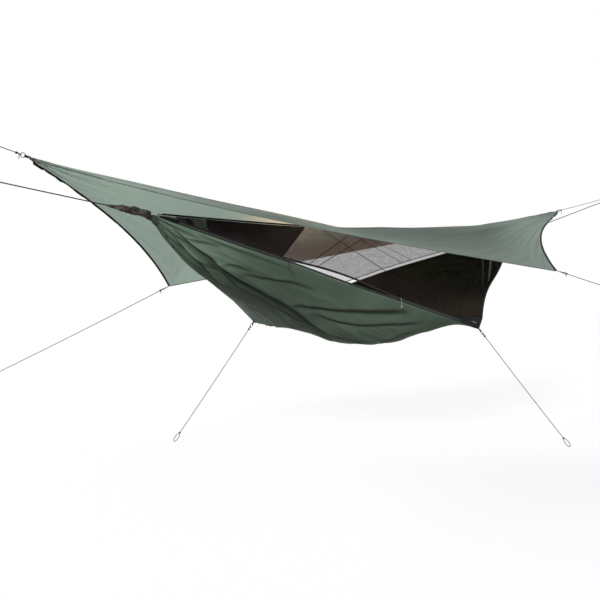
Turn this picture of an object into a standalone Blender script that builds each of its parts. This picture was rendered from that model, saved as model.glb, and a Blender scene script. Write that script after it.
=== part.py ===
"""Asymmetric hammock tent: a gathered hammock under a zipped insect net, with a rain fly above it.

Metres, +Z up. The origin is the middle of the ridge line, +X runs along that line to the right-hand end,
and +Y points to the far side. The near side is the side with the zip.
"""

import math

import bmesh
import bpy
from mathutils import Matrix, Vector

# Gap kept between pieces that touch on the real object
GAP = 0.0003

# Ridge line, the straight line between the two gathered ends
RIDGE_HALF = 1.350
RIDGE_SAG = 0.018
RIDGE_DIAMETER = 0.004

# Side corners of the hammock, where it is pulled out and down
CORNER_ALONG = 0.460
CORNER_OUT = 0.480
CORNER_DROP_NEAR = 0.600
CORNER_DROP_FAR = 0.560
FAR_EDGE_RISE = 0.070
NEAR_EDGE_RISE = 0.065
SAG_FADE = 0.300
SAG_FADE_START = 0.020

# Hammock cloth
BODY_THICKNESS = 0.0008
BODY_SAG = 0.270
BODY_ROWS = 18
# Fullness of the cloth across the hammock, and how much straighter it is beside a pulled corner
BODY_SHAPE_POWER = 2.2
BODY_TAUT_POWER = 1.3
BODY_TAUT_WIDTH = 0.200
# Creases that run out from the gathers, and the narrow folds beside the gathers
CREASE_DEPTH = 0.022
CREASE_WIDTH_SHARE = 0.055
CREASE_FADE_SHARE = 0.12
CREASE_BULGE_SHARES = (0.45, 2.4)
FAN_DEPTH = 0.008
FAN_COUNT = 4
FAN_REACH_SHARE = 0.30
FAN_START_SHARE = 0.15
# Each crease's line: place along as a share of RIDGE_HALF, and place across as a share of the cloth's width
CREASE_SHARES = (
    ((-0.94, 0.08), (-0.89, 0.24), (-0.79, 0.34), (-0.65, 0.54), (-0.56, 0.62), (-0.46, 0.69), (-0.32, 0.72)),
    ((-0.92, 0.06), (-0.84, 0.15), (-0.72, 0.24), (-0.61, 0.29), (-0.42, 0.31), (-0.27, 0.37), (-0.10, 0.38)),
    ((-0.80, 0.24), (-0.67, 0.33), (-0.60, 0.40), (-0.47, 0.41), (-0.33, 0.43)),
    ((-0.39, 0.29), (-0.27, 0.19), (-0.18, 0.12), (-0.06, 0.06)),
    ((-0.14, 0.38), (-0.04, 0.34), (0.02, 0.26), (0.13, 0.14)))
# Room between the middle of the cloth's edge and what is sewn to it
EDGE_GAP = BODY_THICKNESS / 2 + GAP * 4
# How deep the belly hangs along the hammock: place as a share of RIDGE_HALF, depth as a share of BODY_SAG
BODY_SAG_SHARES = ((-1.0, 0.0), (-0.89, 0.27), (-0.785, 0.42), (-0.667, 0.43), (-0.44, 0.42),
                   (-0.30, 0.55), (-0.10, 0.94), (0.02, 1.0), (0.185, 0.74), (0.34, 0.34),
                   (0.667, 0.24), (0.89, 0.14), (1.0, 0.0))

# Gathered ends
GATHER_REACH = 0.050
GATHER_ROOM = 0.004
GATHER_LENGTH = 0.074
GATHER_RADIUS = 0.021
GATHER_SIDES = 16
# Outline of a gather: place along it and radius, as shares of GATHER_LENGTH and GATHER_RADIUS
GATHER_SHARES = ((0.0, 1.0), (0.14, 0.93), (0.30, 0.66), (0.40, 0.57), (0.44, 0.66), (0.70, 0.66),
                 (0.74, 0.57), (0.86, 0.72), (0.97, 0.60), (1.0, 0.40))

# Storage sleeves on the suspension lines
SLEEVE_LENGTH = 0.170
SLEEVE_RADIUS = 0.017
SLEEVE_WALL = 0.0015
SLEEVE_LUMP = 0.004
SLEEVE_START = 0.004
SLEEVE_LUMPS = 3
SLEEVE_TWIST = math.radians(400)
SLEEVE_WAVE = math.radians(515)
# Radius of a sleeve between its cinched ends: place as a share of its length, radius as a share
SLEEVE_SHARES = ((0.0, 0.0), (0.10, 0.80), (0.22, 1.0), (0.40, 0.78), (0.58, 0.90), (0.78, 0.58),
                 (0.92, 0.44), (1.0, 0.0))

# Insect net
NET_THICKNESS = 0.0008
NET_ROWS = 4
NET_END_COLUMNS = 8
# How far short of the right-hand end of the ridge line the far net and its binding stop
FAR_NET_SHORT = 0.115
FAR_BINDING_SHORT = 0.080
NET_RIPPLE = 0.003

# Binding folded over the ridge line, with room inside for the loops that slide on the line
RIDGE_BINDING_INNER = 0.0046
RIDGE_BINDING_WALL = 0.0010
RIDGE_BINDING_HALF_ANGLE = math.radians(120)
RIDGE_BINDING_START = 0.030

# Edge bindings
BINDING_WIDTH = 0.010
BINDING_THICKNESS = 0.0012

# Zip, a coil on two tapes
TAPE_WIDTH = 0.014
TAPE_THICKNESS = 0.0012
COIL_DIAMETER = 0.0040
ROW_DIAMETER = 0.0018
ZIP_START = 0.163
DOOR_COLUMNS = 14
CLOSED_COLUMNS = 4
SLIDER_LEFT = 0.757
SLIDER_RIGHT = 1.445
DOOR_LIFT = 0.030
DOOR_DROOP = 0.008
DOOR_SHAPE_POWER = 1.3
SLIDER_LENGTH = 0.020
SLIDER_WIDTH = 0.012
SLIDER_PLATE = 0.0012
SLIDER_CLEARANCE = 0.0005
SLIDER_POST_RADIUS = 0.0012
SLIDER_WING = 0.0010
SLIDER_TAPER_SHARE = 0.72
SLIDER_CORNER_SHARE = 0.80
RIM_INSET = 0.0002
RIM_TAIL_SHARE = 0.97
RIM_NOSE_SHARE = 0.78
BRIDGE_RISE = 0.0039
BRIDGE_LENGTH = 0.0090
BRIDGE_WIDTH = 0.0022
BRIDGE_BAR = 0.0012
PULL_CORD = 0.0014
PULL_RUN = 0.021
PULL_HANG = 0.022
PULL_GRIP_LENGTH = 0.013
PULL_GRIP_WIDTH = 0.0060
PULL_GRIP_THICKNESS = 0.0036
STOP_LENGTH = 0.006
STOP_THICKNESS = 0.0030

# Corner patches
PATCH_LEFT = 0.110
PATCH_RIGHT = 0.085
PATCH_THICKNESS = 0.0012

# Rings, webbing tabs and knots
RING_RADIUS = 0.0105
RING_WIRE = 0.0030
TAB_LENGTH = 0.016
TAB_WIDTH = 0.010
TAB_ROOM = 0.0006
TAB_THICKNESS = 0.0010
KNOT_RADIUS = 0.0042
KNOT_LENGTH = 0.011
# Swelling of a line at a knot: place along it and radius, as shares of the knot's length and radius
KNOT_SHARES = ((0.12, 0.86), (0.38, 1.0), (0.62, 0.88), (0.88, 0.90))
KNOT_LEAST_SHARE = 1.4
TAIL_LENGTH = 0.024

# Rain fly
FLY_REACH = 1.900
FLY_RISE = 0.210
FLY_THICKNESS = 0.0010
FLY_NEAR_ALONG = 0.880
FLY_NEAR_OUT = 0.690
FLY_NEAR_DROP = 0.270
FLY_FAR_ALONG = 0.900
FLY_FAR_OUT = 0.710
FLY_FAR_DROP = 0.340
FLY_HEM_SAG = 0.046
FLY_FAR_HEM_SAG = 0.0055
FLY_HEM_POWER = 0.75
# Hollow cut of the two short edges, deepest nearer the side corner for a power above one
FLY_HOLLOW_LEFT = 0.069
FLY_HOLLOW_RIGHT = 0.113
FLY_HOLLOW_LEFT_POWER = 1.10
FLY_HOLLOW_RIGHT_POWER = 1.35
FLY_WRINKLE = 0.004
FLY_WRINKLE_START_SHARE = 0.15
FLY_WRINKLES = 5
FLY_BINDING_WIDTH = 0.012
FLY_BINDING_THICKNESS = 0.0016
FLY_END_COLUMNS = 8
FLY_LEFT_COLUMNS = 6
FLY_RIGHT_COLUMNS = 9
FLY_ROWS = 9
FLY_TIP_CUT = 0.008
# Ridge of the fly: place as a share of FLY_REACH, height as a share of the way from its rest up to FLY_RISE
FLY_RIDGE_SHARES = ((-1.0, 1.0), (-0.906, 0.871), (-0.758, 0.709), (-0.629, 0.563), (-0.487, 0.41),
                    (-0.373, 0.30), (-0.25, 0.173), (-0.163, 0.075), (-0.085, 0.0), (0.0, 0.03), (0.075, 0.07),
                    (0.179, 0.10), (0.405, 0.23), (0.528, 0.313), (0.593, 0.402), (0.727, 0.578),
                    (0.87, 0.782), (1.0, 1.0))
FLY_REST_SHARE = -0.085
# Step along a short edge over which its direction is read
FLY_EDGE_STEP_SHARE = 0.02
# Room between a binding's outer end and the tab of a side corner
FLY_TAB_ROOM = 0.0002

# Things on the ridge line inside the hammock; starts are measured from its left-hand end
LOOP_CORD = 0.0011
LOOP_CLEARANCE = 0.0004
LOOP_NECK_SHARE = 1.7
LOOP_FOOT_START = math.radians(215)
LOOP_TURN = math.radians(250)
POCKET_START = 0.320
POCKET_LENGTH = 0.610
POCKET_DEPTH = 0.165
POCKET_SLANT = 0.150
POCKET_LEFT_SLANT_SHARE = 0.25
POCKET_DROP = 0.014
POCKET_SAG = 0.007
POCKET_BOW = 0.008
POCKET_THICKNESS = 0.0040
# Room between the pocket's right-hand end and each hook
HOOK_CLEARANCES = (0.035, 0.115)
HOOK_WIRE = 0.0020
HOOK_HEIGHT = 0.022
HOOK_RADIUS = 0.0048
HOOK_LOOP_DROP = 0.0110
HOOK_EYE_START = math.radians(-110)
HOOK_BEND = math.radians(200)

# Free lines: diameter and routes, from the knot outwards
LINE_DIAMETER = 0.0040
GUY_DIAMETER = 0.0026
LINE_LOOP_LENGTH = 0.055
LINE_LOOP_WIDTH = 0.020
LOOP_FULLNESS_SHARE = 0.8
SUSPENSION_LEFT_RUN = 0.760
SUSPENSION_RIGHT_RUN = 1.210
SUSPENSION_LEFT_SLOPE = 0.143
SUSPENSION_RIGHT_SLOPE = 0.285
FLY_LINE_LEFT_RUN = 0.200
FLY_LINE_RIGHT_RUN = 0.660
FLY_LINE_LEFT_SLOPE = 0.290
FLY_LINE_RIGHT_SLOPE = 0.225
FLY_GUY_NEAR_RUN = 0.400
FLY_GUY_FAR_RUN = 1.250
SIDE_GUY_RUN = 0.740
LINE_SAG_SHARE = 0.004
LINE_STEPS = 6
FLY_GUY_NEAR_WAY_SHARES = (0.60, -0.50, -0.265)
FLY_GUY_FAR_WAY_SHARES = (-0.60, 0.50, -0.377)
SIDE_GUY_NEAR_WAY_SHARES = (0.425, -0.266, -0.647)
SIDE_GUY_FAR_WAY_SHARES = (-0.409, 0.252, -0.709)

COLLECTION_NAME = "hammock_tent"
CUTTER_COLLECTION_NAME = "cutters"
WELD = 0.00005


def clear_scene():
    """Remove every object, so that the script can be run again."""
    for old in list(bpy.data.objects):
        bpy.data.objects.remove(old, do_unlink=True)


def make_collection(name):
    """Return the collection of that name, linked to the scene."""
    found = bpy.data.collections.get(name)
    if found is None:
        found = bpy.data.collections.new(name)
        bpy.context.scene.collection.children.link(found)
    return found


def material(name, colour, roughness, metallic=0.0):
    """Make a Principled material."""
    made = bpy.data.materials.new(name)
    made.use_nodes = True
    shader = made.node_tree.nodes["Principled BSDF"]
    shader.inputs["Base Color"].default_value = (*colour, 1.0)
    shader.inputs["Roughness"].default_value = roughness
    shader.inputs["Metallic"].default_value = metallic
    return made


def cloth_material(name, colour):
    """Make a dull material for cloth, webbing or cord."""
    return material(name, colour, 0.8)


def link(obj, finish):
    """Put an object in the part's collection with its material."""
    for old in list(obj.users_collection):
        old.objects.unlink(obj)
    bpy.data.collections[COLLECTION_NAME].objects.link(obj)
    obj.data.materials.clear()
    obj.data.materials.append(finish)
    return obj


def object_from_bmesh(name, mesh, finish):
    """Turn a bmesh into a named object."""
    data = bpy.data.meshes.new(name)
    bmesh.ops.recalc_face_normals(mesh, faces=mesh.faces[:])
    mesh.to_mesh(data)
    mesh.free()
    return link(bpy.data.objects.new(name, data), finish)


def sheet(name, columns, rows, place, thickness, finish):
    """A sheet of cloth: a grid whose points go to place(u, v), made solid about its middle surface."""
    mesh = bmesh.new()
    bmesh.ops.create_grid(mesh, x_segments=columns, y_segments=rows, size=0.5)
    for vert in mesh.verts:
        vert.co = place(vert.co.x + 0.5, vert.co.y + 0.5)
    bmesh.ops.remove_doubles(mesh, verts=mesh.verts[:], dist=WELD)
    obj = object_from_bmesh(name, mesh, finish)
    solid = obj.modifiers.new("thickness", "SOLIDIFY")
    solid.thickness = thickness
    solid.offset = 0.0
    obj.data.shade_smooth()
    return obj


def tube(name, points, diameter, finish, resolution=2, swell_shares=None, closed=False):
    """A cord or wire with closed ends along a row of points, thicker where its share is above one."""
    curve = bpy.data.curves.new(name, "CURVE")
    curve.dimensions = "3D"
    curve.bevel_depth = diameter / 2
    curve.bevel_resolution = resolution
    curve.use_fill_caps = True
    spline = curve.splines.new("POLY")
    spline.points.add(len(points) - 1)
    spline.use_cyclic_u = closed
    for index, (point, place) in enumerate(zip(spline.points, points)):
        point.co = (*place, 1.0)
        point.radius = swell_shares[index] if swell_shares else 1.0
    return link(bpy.data.objects.new(name, curve), finish)


def as_mesh(obj):
    """Turn a curve into a closed mesh with the same name and material."""
    bpy.context.view_layer.update()
    data = bpy.data.meshes.new_from_object(obj.evaluated_get(bpy.context.evaluated_depsgraph_get()))
    single = bmesh.new()
    single.from_mesh(data)
    bmesh.ops.remove_doubles(single, verts=single.verts[:], dist=WELD)
    bmesh.ops.recalc_face_normals(single, faces=single.faces[:])
    single.to_mesh(data)
    single.free()
    name, finish, place = obj.name, obj.data.materials[0], obj.matrix_world.copy()
    bpy.data.objects.remove(obj, do_unlink=True)
    made = link(bpy.data.objects.new(name, data), finish)
    made.matrix_world = place
    return made


def join_solid(name, base, others, finish):
    """Unite solids that reach into each other; the added ones are kept with the cutters."""
    cutters = bpy.data.collections[CUTTER_COLLECTION_NAME]
    for other in others:
        step = base.modifiers.new(other.name, "BOOLEAN")
        step.operation = "UNION"
        step.object = other
        other.hide_render = True
        other.display_type = "WIRE"
        for old in list(other.users_collection):
            old.objects.unlink(other)
        cutters.objects.link(other)
    base.name = name
    base.data.materials.clear()
    base.data.materials.append(finish)
    return base


def set_origin(obj, origin):
    """Move an object's origin to a point without moving its mesh."""
    obj.data.transform(Matrix.Translation(-Vector(origin)))
    obj.location = origin
    return obj


def turned(name, outline, start, direction, finish, steps=20):
    """A solid turned about a line: outline holds (distance along the line, radius)."""
    mesh = bmesh.new()
    closed = [(outline[0][0], 0.0), *outline, (outline[-1][0], 0.0)]
    verts = [mesh.verts.new((radius, 0.0, along)) for along, radius in closed]
    for first, second in zip(verts, verts[1:]):
        mesh.edges.new((first, second))
    bmesh.ops.spin(mesh, geom=mesh.verts[:] + mesh.edges[:], cent=(0, 0, 0), axis=(0, 0, 1),
                   angle=2 * math.pi, steps=steps, use_merge=True)
    bmesh.ops.remove_doubles(mesh, verts=mesh.verts[:], dist=WELD)
    obj = object_from_bmesh(name, mesh, finish)
    obj.rotation_mode = "QUATERNION"
    obj.rotation_quaternion = Vector((0, 0, 1)).rotation_difference(Vector(direction))
    obj.location = start
    obj.data.shade_smooth()
    return obj


def frame_matrix(centre, axes):
    """Matrix that puts an object at a centre with its X, Y and Z along three directions."""
    turn = Matrix([[axis[row] for axis in axes] for row in range(3)])
    return Matrix.Translation(centre) @ turn.to_4x4()


def block(name, centre, axes, size, finish):
    """A box of that size whose sides follow three directions."""
    mesh = bmesh.new()
    bmesh.ops.create_cube(mesh, size=1.0)
    for vert in mesh.verts:
        vert.co = Vector([part * length for part, length in zip(vert.co, size)])
    bmesh.ops.transform(mesh, matrix=frame_matrix(centre, axes), verts=mesh.verts[:])
    return object_from_bmesh(name, mesh, finish)


def plate(name, outline, thickness, centre, axes, finish):
    """A flat outline given along the first two axes, made solid along the third."""
    curve = bpy.data.curves.new(name, "CURVE")
    curve.dimensions = "2D"
    curve.fill_mode = "BOTH"
    curve.extrude = thickness / 2
    spline = curve.splines.new("POLY")
    spline.points.add(len(outline) - 1)
    for point, (x, y) in zip(spline.points, outline):
        point.co = (x, y, 0.0, 1.0)
    spline.use_cyclic_u = True
    obj = link(bpy.data.objects.new(name, curve), finish)
    obj.matrix_world = frame_matrix(centre, axes)
    return as_mesh(obj)


def smooth_value(shares, place):
    """Read a smooth curve through (place, value) pairs, without overshoot between equal values."""
    if place <= shares[0][0]:
        return shares[0][1]
    for index in range(len(shares) - 1):
        (x0, y0), (x1, y1) = shares[index], shares[index + 1]
        if place <= x1:
            break
    else:
        return shares[-1][1]

    def slope(at):
        if at == 0 or at == len(shares) - 1:
            low, high = max(at - 1, 0), min(at + 1, len(shares) - 1)
            return (shares[high][1] - shares[low][1]) / (shares[high][0] - shares[low][0])
        before = (shares[at][1] - shares[at - 1][1]) / (shares[at][0] - shares[at - 1][0])
        after = (shares[at + 1][1] - shares[at][1]) / (shares[at + 1][0] - shares[at][0])
        return 0.0 if before * after <= 0 else 2 * before * after / (before + after)

    span = x1 - x0
    t = (place - x0) / span
    start, end = slope(index) * span, slope(index + 1) * span
    return ((2 * t**3 - 3 * t**2 + 1) * y0 + (t**3 - 2 * t**2 + t) * start
            + (3 * t**2 - 2 * t**3) * y1 + (t**3 - t**2) * end)


def unit(way):
    """The direction of a vector given as three shares."""
    return Vector(way).normalized()


def ridge_height(x):
    """Height of the ridge line's middle at a place along it."""
    return -RIDGE_SAG * (1 - min(abs(x) / RIDGE_HALF, 1.0) ** 2)


class Side:
    """One net's plane: x runs along the ridge and q runs down the net from the ridge line."""

    def __init__(self, sign, along, out, drop):
        self.sign = sign
        self.corner_x = along
        self.slope = math.hypot(out, drop)
        self.down = Vector((0.0, sign * out / self.slope, -drop / self.slope))
        self.normal = Vector((0.0, sign * drop / self.slope, out / self.slope))

    def point(self, x, q, lift=0.0):
        """A place in the room; near the ridge the net follows the sag of the ridge line."""
        faded = max(0.0, q - SAG_FADE_START) / SAG_FADE
        sag = ridge_height(x) * max(0.0, 1 - faded)
        return Vector((x, 0.0, sag)) + self.down * q + self.normal * lift

    def tilt(self, x):
        """How much longer a step down the net is than the same step square to the edge."""
        run = RIDGE_HALF + self.corner_x if x < self.corner_x else RIDGE_HALF - self.corner_x
        return math.hypot(run, self.slope) / run

    def straight_edge(self, x):
        """Distance down the net of the straight line from a gathered end to the side corner."""
        if x < self.corner_x:
            return self.slope * (x + RIDGE_HALF) / (RIDGE_HALF + self.corner_x)
        return self.slope * (RIDGE_HALF - x) / (RIDGE_HALF - self.corner_x)


NEAR = Side(-1, CORNER_ALONG, CORNER_OUT, CORNER_DROP_NEAR)
FAR = Side(1, -CORNER_ALONG, CORNER_OUT, CORNER_DROP_FAR)

ZIP_LENGTH = math.hypot(RIDGE_HALF + CORNER_ALONG, NEAR.slope)
ZIP_TILT = ZIP_LENGTH / (RIDGE_HALF + CORNER_ALONG)
ZIP_CENTRE = EDGE_GAP + TAPE_WIDTH + GAP + COIL_DIAMETER / 2
ZIP_STACK = ZIP_CENTRE + COIL_DIAMETER / 2 + GAP + TAPE_WIDTH + GAP
BINDING_STACK = EDGE_GAP + BINDING_WIDTH + GAP
PATCH_START = CORNER_ALONG - PATCH_LEFT
PATCH_END = CORNER_ALONG + PATCH_RIGHT
CLOTH_END = RIDGE_HALF - GATHER_REACH
NET_END = CLOTH_END - GATHER_ROOM


def zip_x(length):
    """Place along the ridge of a point that far along the zip."""
    return length / ZIP_TILT - RIDGE_HALF


def door_share(x):
    """How far the door gapes at a place between the sliders, from 0 at a slider to 1 in the middle."""
    start, end = zip_x(SLIDER_LEFT), zip_x(SLIDER_RIGHT)
    if not start < x < end:
        return 0.0
    return math.sin(math.pi * (x - start) / (end - start)) ** DOOR_SHAPE_POWER


def body_edge(side, x):
    """Edge of the hammock cloth, as a distance down the net's plane."""
    edge = side.straight_edge(x)
    if side is NEAR and x > PATCH_END:
        along = (x - PATCH_END) / (RIDGE_HALF - PATCH_END)
        return edge - NEAR_EDGE_RISE * math.sin(2 * math.pi * along) * (1 - along)
    if side is NEAR:
        return edge + DOOR_DROOP * door_share(x)
    if x > side.corner_x:
        along = (x - side.corner_x) / (RIDGE_HALF - side.corner_x)
        edge -= FAR_EDGE_RISE * 4 * along * (1 - along)
    return edge


def near_band(x, offset, rise):
    """Distance down the near net of a line that far above the hammock's edge, with the door's lift."""
    lift = rise * (DOOR_LIFT + DOOR_DROOP) * door_share(x)
    return body_edge(NEAR, x) - offset * NEAR.tilt(x) - lift


def patch_top(side, x):
    """Inner border of a corner patch."""
    start, end = patch_span(side)
    left_stack, right_stack = patch_stacks(side)
    left = body_edge(side, start) - left_stack * side.tilt(start)
    right = body_edge(side, end) - right_stack * side.tilt(end)
    return left + (right - left) * (x - start) / (end - start)


def patch_span(side):
    """Where a corner patch starts and ends along the ridge."""
    if side is NEAR:
        return PATCH_START, PATCH_END
    return -PATCH_END, -PATCH_START


def patch_stacks(side):
    """Width of what lies between cloth and net on either side of a corner patch."""
    return (ZIP_STACK, BINDING_STACK) if side is NEAR else (BINDING_STACK, BINDING_STACK)


def net_hem(side, x):
    """Lower edge of a net panel."""
    start, end = patch_span(side)
    if start <= x <= end:
        return patch_top(side, x) - GAP
    if side is NEAR and x < start:
        return near_band(x, ZIP_STACK, 1.0)
    return body_edge(side, x) - BINDING_STACK * side.tilt(x)


def columns_through(stops, counts):
    """Places along the ridge with a column at each stop, as a function from 0..1."""
    places = [stops[0]]
    for start, end, count in zip(stops, stops[1:], counts):
        places += [start + (end - start) * (step + 1) / count for step in range(count)]

    def read(u):
        return places[round(u * (len(places) - 1))]

    return read, len(places) - 1


def band(name, side, span, top, bottom, columns, rows, thickness, finish, lift=None):
    """A strip or panel in a net's plane between two borders given down the net."""
    read, count = columns if isinstance(columns, tuple) else columns_through(span, (columns,))

    def place(u, v):
        x = read(u)
        high, low = top(x), bottom(x)
        q = high + (low - high) * v
        return side.point(x, q, lift(x, v) if lift else 0.0)

    return sheet(name, count, rows, place, thickness, finish)


def make_nets(finish):
    """The two net panels between the ridge and the hammock's edges."""
    top = RIDGE_BINDING_INNER + RIDGE_BINDING_WALL + GAP
    for name, side in (("near_net", NEAR), ("far_net", FAR)):
        first, last = patch_span(side)
        if side is NEAR:
            stops = (zip_x(ZIP_START), zip_x(SLIDER_LEFT), zip_x(SLIDER_RIGHT), first, side.corner_x, last, NET_END)
            counts = (CLOSED_COLUMNS, DOOR_COLUMNS, 1, 1, 1, NET_END_COLUMNS)
        else:
            stops = (-NET_END, first, side.corner_x, last, RIDGE_HALF - FAR_NET_SHORT)
            counts = (6, 1, 1, 20)

        def ripple(x, v):
            return NET_RIPPLE * math.sin(math.pi * v) * math.sin(math.pi * x / SAG_FADE)

        def net_top(x, side=side):
            return min(top, net_hem(side, x) - top)

        def hem(x, side=side):
            return net_hem(side, x)

        band(name, side, None, net_top, hem, columns_through(stops, counts), NET_ROWS,
             NET_THICKNESS, finish, ripple)


def make_ridge_binding(finish):
    """The binding folded over the ridge line, open below."""
    radius = RIDGE_BINDING_INNER + RIDGE_BINDING_WALL / 2
    reach = CLOTH_END - RIDGE_BINDING_START

    def place(u, v):
        x = reach * (2 * u - 1)
        angle = RIDGE_BINDING_HALF_ANGLE * (2 * v - 1)
        return Vector((x, radius * math.sin(angle), ridge_height(x) + radius * math.cos(angle)))

    return sheet("net_ridge_binding", 14, 6, place, RIDGE_BINDING_WALL, finish)


def make_edge_bindings(finish):
    """Bindings between cloth and net on the edges that have no zip."""
    runs = (("edge_binding_near", NEAR, PATCH_END + GAP, NET_END, NET_END_COLUMNS),
            ("edge_binding_far_short", FAR, -NET_END, -PATCH_END - GAP, 6),
            ("edge_binding_far_long", FAR, -PATCH_START + GAP, RIDGE_HALF - FAR_BINDING_SHORT, 20))
    for name, side, start, stop, columns in runs:
        band(name, side, (start, stop),
             lambda x, side=side: body_edge(side, x) - (EDGE_GAP + BINDING_WIDTH) * side.tilt(x),
             lambda x, side=side: body_edge(side, x) - EDGE_GAP * side.tilt(x),
             columns, 1, BINDING_THICKNESS, finish)


def make_patches(finish):
    """The reinforced side corners."""
    for name, side in (("corner_patch_near", NEAR), ("corner_patch_far", FAR)):
        start, end = patch_span(side)
        band(name, side, None,
             lambda x, side=side: patch_top(side, x),
             lambda x, side=side: body_edge(side, x) - EDGE_GAP * side.tilt(x),
             columns_through((start, side.corner_x, end), (5, 4)), 3, PATCH_THICKNESS, finish)


def make_zip_tapes(finish):
    """The two woven tapes of the zip."""
    start, end = zip_x(ZIP_START), PATCH_START - GAP
    stops = (start, zip_x(SLIDER_LEFT), zip_x(SLIDER_RIGHT), end)
    lines = columns_through(stops, (CLOSED_COLUMNS, DOOR_COLUMNS, 1))
    band("zip_tape_lower", NEAR, None,
         lambda x: near_band(x, EDGE_GAP + TAPE_WIDTH, 0.0),
         lambda x: near_band(x, EDGE_GAP, 0.0), lines, 1, TAPE_THICKNESS, finish)
    band("zip_tape_upper", NEAR, None,
         lambda x: near_band(x, ZIP_STACK - GAP, 1.0),
         lambda x: near_band(x, ZIP_STACK - GAP - TAPE_WIDTH, 1.0), lines, 1, TAPE_THICKNESS, finish)


def zip_points(start, end, offset, rise, count):
    """Points along one line of the zip."""
    places = [start + (end - start) * step / count for step in range(count + 1)]
    return [NEAR.point(x, near_band(x, offset, rise)) for x in places]


def make_zip_chain(finish):
    """The closed coil outside the sliders and the two open rows between them."""
    inside = SLIDER_LENGTH / 2 / ZIP_TILT
    post = SLIDER_POST_RADIUS * 2 / ZIP_TILT
    left, right = zip_x(SLIDER_LEFT), zip_x(SLIDER_RIGHT)
    closed_end = PATCH_START - COIL_DIAMETER / 2
    tube("zip_chain_left", zip_points(zip_x(ZIP_START), left - post, ZIP_CENTRE, 0.0, CLOSED_COLUMNS),
         COIL_DIAMETER, finish)
    tube("zip_chain_right", zip_points(right + post, closed_end, ZIP_CENTRE, 0.0, 1), COIL_DIAMETER, finish)
    lower = EDGE_GAP + TAPE_WIDTH + GAP + ROW_DIAMETER / 2
    upper = ZIP_STACK - GAP - TAPE_WIDTH - GAP - ROW_DIAMETER / 2
    for name, offset, rise in (("zip_row_lower", lower, 0.0), ("zip_row_upper", upper, 1.0)):
        tube(name, zip_points(left + inside, right - inside, offset, rise, 16), ROW_DIAMETER, finish)


def zip_frame(length):
    """Origin and directions at a point of the zip: along it, up the net and out of it."""
    x = zip_x(length)
    step = SLIDER_LENGTH / 2 / ZIP_TILT
    centre = NEAR.point(x, NEAR.straight_edge(x) - ZIP_CENTRE * ZIP_TILT)
    ahead = NEAR.point(x + step, NEAR.straight_edge(x + step) - ZIP_CENTRE * ZIP_TILT)
    along = (ahead - centre).normalized()
    out = (NEAR.normal - along * along.dot(NEAR.normal)).normalized()
    return centre, along, out.cross(along), out


def make_slider(name, length, closed_side, finish):
    """A zip slider: two tapered plates joined by a post at the open side, rims, and a bridge for the pull."""
    centre, along, up, out = zip_frame(length)
    channel = COIL_DIAMETER / 2 + SLIDER_CLEARANCE
    level = channel + SLIDER_PLATE / 2
    half, wide, narrow = SLIDER_LENGTH / 2, SLIDER_WIDTH / 2, SLIDER_WIDTH / 2 * SLIDER_TAPER_SHARE
    tail = half * closed_side
    cut_tail, cut_wide = tail * SLIDER_CORNER_SHARE, wide * SLIDER_CORNER_SHARE
    outline = ((tail, -narrow), (tail, narrow), (0.0, wide), (-cut_tail, wide), (-tail, cut_wide),
               (-tail, -cut_wide), (-cut_tail, -wide), (0.0, -wide))
    plates = [plate(f"{name}_plate_{face + 1}", outline, SLIDER_PLATE, centre + out * face * level,
                    (along, up, out), finish) for face in (1, -1)]
    nose = -closed_side * (half - SLIDER_POST_RADIUS * 2)
    post = turned(name + "_post", ((0.0, SLIDER_POST_RADIUS), (2 * level, SLIDER_POST_RADIUS)),
                  centre + along * nose - out * level, out, finish, steps=12)
    outer, inner = RIM_INSET, RIM_INSET + SLIDER_WING
    rim_tail, rim_nose = tail * RIM_TAIL_SHARE, -tail * RIM_NOSE_SHARE
    added = [plates[1], post]
    height = SLIDER_WING + SLIDER_PLATE / 2
    for turn in (-1, 1):
        rim = ((rim_tail, turn * (narrow - outer)), (outer, turn * (wide - outer)),
               (rim_nose, turn * (wide - outer)), (rim_nose, turn * (wide - inner)),
               (outer, turn * (wide - inner)), (rim_tail, turn * (narrow - inner)))
        for face in (-1, 1):
            middle = centre + out * face * (level - height / 2)
            added.append(plate(f"{name}_rim_{turn + 1}_{face + 1}", rim, height, middle,
                               (along, up, out), finish))
    foot = channel + SLIDER_PLATE
    reach, bar = BRIDGE_LENGTH / 2, BRIDGE_BAR
    shoulder = BRIDGE_RISE - bar / 2
    arch = ((-reach, -SLIDER_PLATE / 2), (-reach, shoulder), (-reach + bar, BRIDGE_RISE),
            (reach - bar, BRIDGE_RISE), (reach, shoulder), (reach, -SLIDER_PLATE / 2),
            (reach - bar, -SLIDER_PLATE / 2), (reach - bar, BRIDGE_RISE - bar),
            (-reach + bar, BRIDGE_RISE - bar), (-reach + bar, -SLIDER_PLATE / 2))
    added.append(plate(name + "_bridge", arch, BRIDGE_WIDTH, centre + out * foot,
                       (along, out, along.cross(out)), finish))
    return join_solid(name, plates[0], added, finish)


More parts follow.
